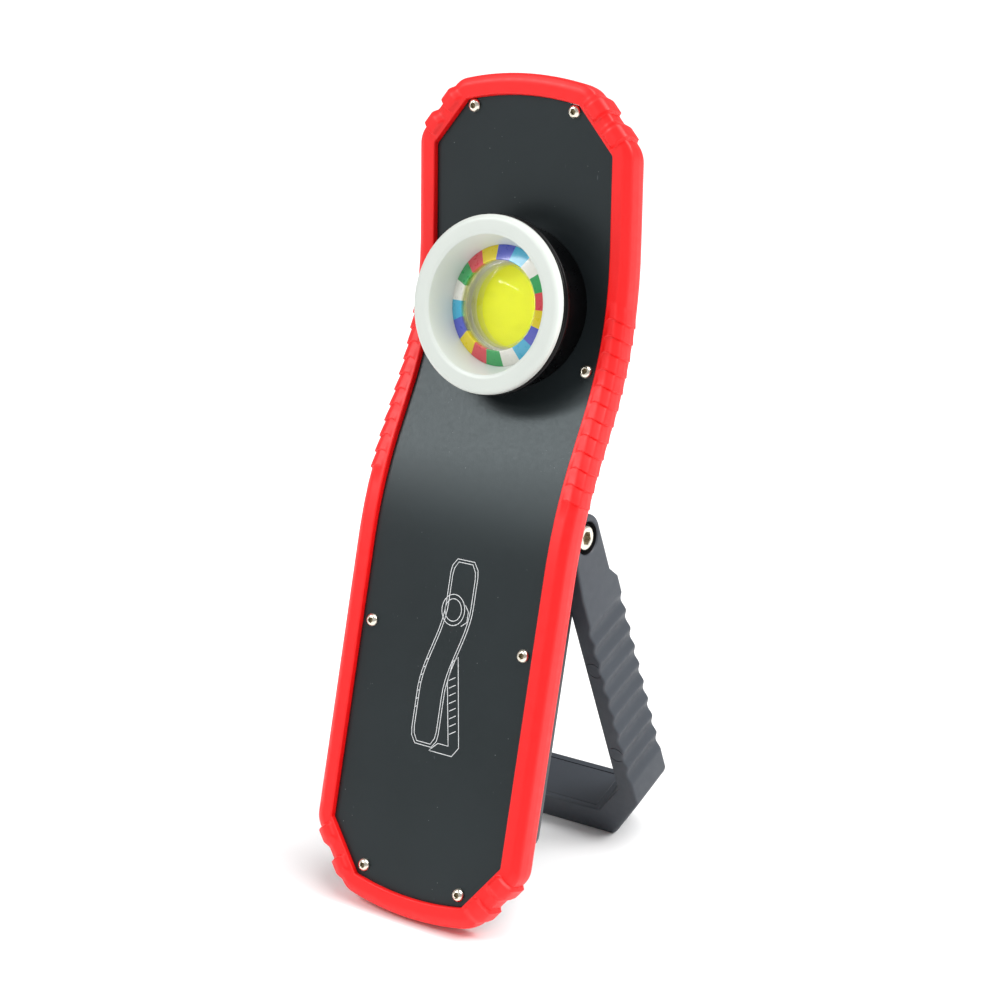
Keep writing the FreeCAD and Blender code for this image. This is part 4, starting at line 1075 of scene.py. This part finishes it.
def bezel():
    """White rim: a soft band, an inner lip and the funnel down to the colour ring."""
    spots = [
        (BEZEL_RADIUS, RIM_BACK, 0.15), (BEZEL_RADIUS, -0.8, 1.5), (23.6, -0.05, 2.2),
        (BOWL_MOUTH + 1.0, -0.05, 1.4), (BOWL_MOUTH, -0.45, 0.5), (BOWL_MOUTH - 0.25, -1.3, 0.4),
        (BOWL_FLOOR + 0.25, -7.7, 1.0), (BOWL_FLOOR, -8.4, 0.2), (BOWL_FLOOR, RING_BACK, 0.0),
        (BOWL_FLOOR + 0.9, RING_BACK, 0.0), (BOWL_MOUTH + 0.6, RIM_BACK, 0.0),
    ]
    return lathe("bezel", spots, HEAD, [WHITE], 144, gap=0.6)


def focus_sleeve():
    """Black grip flange behind the bezel, with a fine bead, and the sliding tube."""
    grip, valley, tube, groove = 25.0, 24.5, SLEEVE_RADIUS, SLEEVE_RADIUS - 0.7
    spots = [
        (BOWL_MOUTH + 0.8, -2.62, 0.0), (grip, -2.62, 0.2), (grip + 0.15, -3.0, 0.25),
        (valley, -3.5, 0.15), (valley, -3.8, 0.15), (grip, -4.2, 0.3), (grip, -5.4, 0.5),
        (tube, -5.4, 0.2), (tube, -12.8, 0.0), (groove, -12.8, 0.0), (groove, -14.2, 0.0),
        (tube, -14.2, 0.0), (tube, SLEEVE_END, 0.1), (SLEEVE_BORE, SLEEVE_END, 0.1),
        (SLEEVE_BORE, -8.0, 0.0),
    ]
    return lathe("focus_sleeve", spots, HEAD, [BARREL], 144)


def head_barrel():
    """Fixed glossy tube between the panel and the moving head."""
    flange_front = BARREL_BACK + 1.5
    spots = [
        (BARREL_BORE, BARREL_BACK, 0.0), (BARREL_FLANGE, BARREL_BACK, 0.0),
        (BARREL_FLANGE, flange_front, 0.0), (BARREL_RADIUS, flange_front, 0.0),
        (BARREL_RADIUS, -5.8, 0.45), (22.3, -5.8, 0.2), (22.1, -6.1, 0.1),
        (BARREL_BORE, -6.1, 0.1),
    ]
    return lathe("head_barrel", spots, HEAD, [BARREL], 144)


def colour_ring():
    """Bevelled ring with eighteen printed fields, starting white at the left."""
    def field(centre):
        """The field at an angle, counted clockwise from the left as seen from the front."""
        if centre.z < -9.0:
            return 0
        angle = math.degrees(math.atan2(centre.y, -centre.x))
        return int((angle % 360.0) // 20.0) % 6
    edge = BOWL_FLOOR - 0.02
    spots = [(edge, RING_BACK, 0.0), (edge, -8.35, 0.15), (RING_BORE + 0.15, -6.65, 0.2),
             (RING_BORE, -6.8, 0.1), (RING_BORE, RING_BACK, 0.0)]
    return lathe("colour_ring", spots, HEAD, FIELDS, 180, field, gap=0.6)


def lens():
    """Clear shallow dome over a flat back, on a rim with a flange."""
    dome, top, shoulder, flat, back = 12.4, -5.6, -7.2, -8.2, -10.3
    sag = top - shoulder
    radius = (dome * dome + sag * sag) / (2.0 * sag)
    spots = []
    for step in range(29):
        reach = dome * step / 28.0
        height = top - radius + math.sqrt(radius * radius - reach * reach)
        spots.append(Vector((max(reach, 0.01), height)))
    rim = [(dome, RING_BACK), (LENS_FLANGE, RING_BACK), (LENS_FLANGE, back), (LENS_BORE, back),
           (LENS_BORE, flat), (0.01, flat)]
    spots += [Vector(corner) for corner in rim]
    return made_object("lens", lathe_shape(spots, 120), HEAD, [LENS])


def cob_phosphor():
    """Yellow silicone disc with a soft rim over the diodes."""
    foot = COB_FRONT - 0.5
    spots = [(0.01, foot, 0.0), (COB_RADIUS, foot, 0.0), (COB_RADIUS, COB_FRONT, 0.35),
             (0.01, COB_FRONT, 0.0)]
    return lathe("cob_phosphor", spots, HEAD, [PHOSPHOR], 96, gap=1.0)


# ---------- stand


def arc_centre(first, second, third):
    """Centre of the circle through three points."""
    (ax, ay), (bx, by), (cx, cy) = first, second, third
    twice = 2 * (ax * (by - cy) + bx * (cy - ay) + cx * (ay - by))
    a2, b2, c2 = ax * ax + ay * ay, bx * bx + by * by, cx * cx + cy * cy
    return Vector(((a2 * (by - cy) + b2 * (cy - ay) + c2 * (ay - by)) / twice,
                   (a2 * (cx - bx) + b2 * (ax - cx) + c2 * (bx - ax)) / twice))


def arm_edges(drop):
    """Front and rear edges of an arm, as offsets at a distance below the pivot."""
    crown = [(-ARM_TOP, 1.0), (-ARM_TOP * 0.15, ARM_TOP), (ARM_NECK, -0.5)]
    centre = arc_centre(*crown)
    reach = math.hypot(crown[0][0] - centre.x, crown[0][1] - centre.y)
    chord = math.sqrt(max(0.0, reach * reach - (-drop - centre.y) ** 2))
    if drop < -1.0:
        front = centre.x - chord
    else:
        share = min(1.0, (drop + 1.0) / (NECK_LONG + 1.0))
        front = -ARM_TOP + (ARM_TOP - ARM_FRONT) * share
    if drop < 0.5:
        rear = centre.x + chord
    else:
        share = min(1.0, max(0.0, (drop - NECK_LONG) / (NOTCH_END - NECK_LONG)))
        rear = ARM_NECK + (ARM_REAR - ARM_NECK) * share
    return front, rear


def wave(drop):
    """Depth of the grip waves on an arm's outer face."""
    place = (drop - WAVE_TOP) / WAVE_PITCH
    if place < 0 or place > WAVE_COUNT:
        return 0.0
    return WAVE_DEEP * (0.5 - 0.5 * math.cos(2 * math.pi * place)) ** 0.8


def stand_ring(inner, outer, front, rear, radii):
    """A rounded cross-section of the stand between an inner and an outer point."""
    across = outer - inner
    wide = across.length
    way = across / wide
    corners = [(0.0, front, radii[0]), (wide, front, radii[1]), (wide, rear, radii[2]),
               (0.0, rear, radii[0])]
    limit = (rear - front) * 0.45
    corners = [(x, y, min(radius, limit)) for x, y, radius in corners]
    ring = []
    for spot in rounded(corners, 5):
        flat = inner + way * spot.x
        ring.append((flat.x, spot.y, -flat.y))
    return ring


ARM_START = 80.0
MARK_DROPS = (41.4, 73.4)


def stand_half():
    """(inner, outer, drop) stops of one half of the U, from the foot's middle to an arm's top."""
    plate = FOOT_REACH - FOOT_THICK
    inside = rounded([(0.0, plate, 0.0), (ARM_INSIDE - GUSSET_X, plate, 2.0),
                      (ARM_INSIDE, plate - GUSSET_Z, 2.5), (ARM_INSIDE, ARM_START, 0.0)], 6)
    outside = rounded([(0.0, FOOT_REACH, 0.0), (ARM_OUTSIDE - CORNER_X, FOOT_REACH, 3.0),
                       (ARM_OUTSIDE, FOOT_REACH - CORNER_Z, 3.0),
                       (ARM_OUTSIDE, ARM_START, 0.0)], 6)
    stops = []
    for inner, outer in zip(inside[:-1], outside[:-1]):
        stops.append((inner, outer, None))
    drops = [86.5, 85.5]
    drops += [84.85 - 0.35 * step for step in range(172)]
    drops += [24.6, 23.0, NOTCH_END, 17.3, NECK_LONG, 12.0, 8.0, 4.0, 0.5, -1.0]
    drops += [-ARM_TOP * math.sin(math.radians(angle)) for angle in range(14, 88, 6)]
    for drop in drops:
        outer = ARM_OUTSIDE - wave(drop)
        stops.append((Vector((ARM_INSIDE, drop)), Vector((outer, drop)), drop))
    return stops


def stand_frame():
    """U-shaped stand: waved arms, a chamfered foot, pivot bores and the magnet recess."""
    rings = []
    for inner, outer, drop in stand_half():
        if drop is None:
            share = smooth(inner.y, 99.0, 86.0)
            front, rear = -ARM_FRONT, ARM_REAR
            radii = (0.7, 1.5 - 0.7 * share, 4.0 - 3.0 * share)
        else:
            front, rear = arm_edges(drop)
            radii = (0.7, 0.8, 1.0)
        rings.append(stand_ring(inner, outer, front, rear, radii))
    mirrored = [[(-x, y, z) for x, y, z in ring] for ring in reversed(rings[1:])]
    stand = made_object("stand_frame", skin(mirrored + rings, caps=True), STAND, [GREY], sharp=40.0)
    plate = FOOT_THICK - FOOT_REACH
    cutters = [made_object("cover_seat", block_shape(
        soft_rectangle(COVER_HALF, COVER_DEEP / 2.0, 0.6),
        [(0.0, plate - COVER_THICK), (0.0, plate + 2.0)]), STAND, [])]
    bore, edge = SHOULDER + 0.05, ARM_OUTSIDE + 0.55
    floor = ARM_OUTSIDE - COUNTERBORE_DEEP
    for side in (-1, 1):
        place = STAND @ Matrix.Rotation(math.radians(90 * side), 4, "Y")
        spots = [
            (AXIS_GAP, 20.0, 0.0), (bore, 20.0, 0.0), (bore, floor, 0.0),
            (COUNTERBORE, floor, 0.2), (COUNTERBORE, ARM_OUTSIDE - 0.35, 0.0),
            (COUNTERBORE + 0.9, edge, 0.0), (AXIS_GAP, edge, 0.0),
        ]
        cutters.append(lathe(f"bore_{side}", spots, place, [], 72))
        for drop in MARK_DROPS:
            spot = shift(side * (ARM_INSIDE + 2.9), -ARM_FRONT, -drop) @ turn_x(90)
            spots = [(2.35, -0.18, 0.0), (2.6, -0.18, 0.0), (2.6, 0.5, 0.0), (2.35, 0.5, 0.0)]
            cutters.append(lathe(f"mark_{side}_{drop}", spots, STAND @ spot, [], 48))
    for cutter in cutters:
        carved(stand, [cutter], 40.0)
    # The counterbores' walls and floor get the black switch material as painted shade.
    return repainted(stand, STAND, SWITCH, in_shaded_counterbore)


def in_shaded_counterbore(spot):
    """Whether a face lies on the wall or floor of the screws' counterbores, which are painted black
    as painted shade.
    """
    deep = ARM_OUTSIDE - 0.3 - abs(spot.x)
    return 0.0 < deep < 2.4 and math.hypot(spot.y, spot.z) < COUNTERBORE + 0.05


def magnet_cover():
    """Flush lid over the magnets in the foot."""
    plate = FOOT_THICK - FOOT_REACH
    levels = eased_levels(plate - COVER_THICK, plate - 0.05, 0.25)
    outline = soft_rectangle(COVER_HALF - 0.14, COVER_DEEP / 2.0 - 0.14, 0.6)
    return made_object("magnet_cover", block_shape(outline, levels), STAND, [GREY])


# ---------- assembly

CAD_FINISHES = {
    "pivot_inserts": BRASS, "battery_cell": SLEEVE, "battery_contacts": CONTACT,
    "control_board": BOARD, "tact_switch": SWITCH, "usb_socket": CONTACT,
    "led_wires": WIRE, "battery_wires": WIRE, "head_o_ring": SEAL, "lens_holder": HOLDER,
    "heat_sink": SINK, "cob_board": BOARD_WHITE, "cob_screws": NICKEL, "foot_magnets": MAGNET,
}


def dress_cad():
    """Gives every CAD node that stays its finish."""
    for name, material in CAD_FINISHES.items():
        slots = frame["nodes"][name].material_slots
        if not slots:
            frame["nodes"][name].data.materials.append(material)
        for slot in slots:
            slot.material = material


PIECES = [
    (front_panel, "housing", "panel_black", "front_panel"),
    (panel_print, "housing", "panel_black"),
    (bumper_frame, "housing", "bumper_red", "bumper_frame"),
    (rear_shell, "housing", "shell_black", "rear_shell"),
    (charge_light, "housing", "light_pipe", "charge_light"),
    (panel_screws, "housing", "screw_nickel", "panel_screws"),
    (stand_screws, "housing", "screw_nickel", "stand_screws"),
    (pivot_washers, "housing", "washer_nylon", "pivot_washers"),
    (head_barrel, "housing", "barrel_black", "head_barrel"),
    (cob_phosphor, "housing", "phosphor_yellow", "cob_phosphor"),
    (bezel, "lens_head", "bezel_white", "bezel"),
    (focus_sleeve, "lens_head", "barrel_black", "focus_sleeve"),
    (colour_ring, "lens_head", "colour_fields", "colour_ring"),
    (lens, "lens_head", "lens_clear", "lens"),
    (stand_frame, "stand", "stand_grey", "stand_frame"),
    (magnet_cover, "stand", "stand_grey", "magnet_cover"),
    (power_button, "button", "button_rubber", "power_button"),
    (usb_cover, "flap", "flap_rubber", "usb_cover"),
]


def build_pieces():
    """Makes every drawn piece; a maker hands back one object or several."""
    for make, body, slot, *nodes in PIECES:
        made = make()
        for thing in made if isinstance(made, (list, tuple)) else [made]:
            piece(thing, body, slot, *nodes)


# ---------- studio


def floor():
    """Plain pale floor."""
    half, count = 4.0, 8
    marks = [half * (2 * step / count - 1) for step in range(count + 1)]
    verts = [(x, y, 0.0) for y in marks for x in marks]
    lows = [row * (count + 1) + column for row in range(count) for column in range(count)]
    mesh = bpy.data.meshes.new("floor")
    mesh.from_pydata(verts, [], [(low, low + 1, low + count + 2, low + count + 1) for low in lows])
    finish = Finish("floor_white", Roughness=0.7)
    tone = finish.ranged(finish.noise(0.002), 0.3, 0.7)
    finish.set("Base Color", finish.mixed(tone, colour(246, 246, 246), colour(250, 250, 250)))
    mesh.materials.append(finish.material)
    sheet = bpy.data.objects.new("floor", mesh)
    bpy.context.scene.collection.objects.link(sheet)


def soft_light(name, spot, target, size, power):
    """A rectangular soft box aimed at a point, handed back for its visibility."""
    data = bpy.data.lights.new(name, "AREA")
    data.shape = "RECTANGLE"
    data.size, data.size_y = size
    data.energy = power
    thing = bpy.data.objects.new(name, data)
    thing.location = spot
    thing.rotation_mode = "QUATERNION"
    thing.rotation_quaternion = (Vector(target) - Vector(spot)).to_track_quat("-Z", "Y")
    bpy.context.scene.collection.objects.link(thing)
    return thing


# Places and sizes of the narrow lights whose glints show in the lens.
STRIPS = [
    ((-0.63, -0.6, 0.68), (0.018, 0.24)), ((-0.68, -0.54, 0.7), (0.012, 0.2)),
    ((-0.47, -0.8, 0.58), (0.34, 0.018)),
]


def studio():
    """An even pale surround, a soft high main light, two soft boxes and narrow strip lights."""
    world = bpy.data.worlds.new("studio")
    world.use_nodes = True
    back = world.node_tree.nodes["Background"]
    back.inputs["Color"].default_value = (1.0, 1.0, 1.0, 1.0)
    back.inputs["Strength"].default_value = 0.5
    bpy.context.scene.world = world
    data = bpy.data.lights.new("main", "SUN")
    data.energy = 2.6
    data.angle = math.radians(50.0)
    main = bpy.data.objects.new("main", data)
    main.rotation_mode = "QUATERNION"
    main.rotation_quaternion = Vector((0.4, 0.12, 0.9)).to_track_quat("Z", "Y")
    bpy.context.scene.collection.objects.link(main)
    middle = (0.0, 0.0, 0.13)
    soft_light("front", (-0.55, -0.75, 1.1), middle, (0.5, 0.35), 6.0)
    soft_light("side", (1.0, 0.35, 0.9), middle, (0.5, 0.5), 9.0)
    head = (0.0, -0.02, 0.17)
    for count, (spot, size) in enumerate(STRIPS):
        soft_light(f"strip_{count + 1}", spot, head, size, 0.9).visible_diffuse = False
    bpy.context.scene.view_settings.view_transform = "Standard"


def camera():
    """The camera, by its angle round the object, its height angle and a small roll."""
    azimuth, elevation, roll = math.radians(36.77), math.radians(18.93), math.radians(2.70)
    target = PIVOT + Vector((0.0, 0.0055, 0.0039))
    distance = 0.6083
    back = Vector((math.sin(azimuth) * math.cos(elevation),
                   -math.cos(azimuth) * math.cos(elevation), math.sin(elevation)))
    data = bpy.data.cameras.new("camera")
    data.lens, data.sensor_width = 77.1, 36.0
    thing = bpy.data.objects.new("camera", data)
    thing.location = target + back * distance
    thing.rotation_mode = "QUATERNION"
    aim = (-back).to_track_quat("-Z", "Y").to_matrix()
    spin = Matrix.Rotation(-roll, 3, "Z")
    thing.rotation_quaternion = (aim @ spin).to_quaternion()
    bpy.context.scene.collection.objects.link(thing)
    bpy.context.scene.camera = thing


camera()
studio()
floor()
dress_cad()
build_pieces()
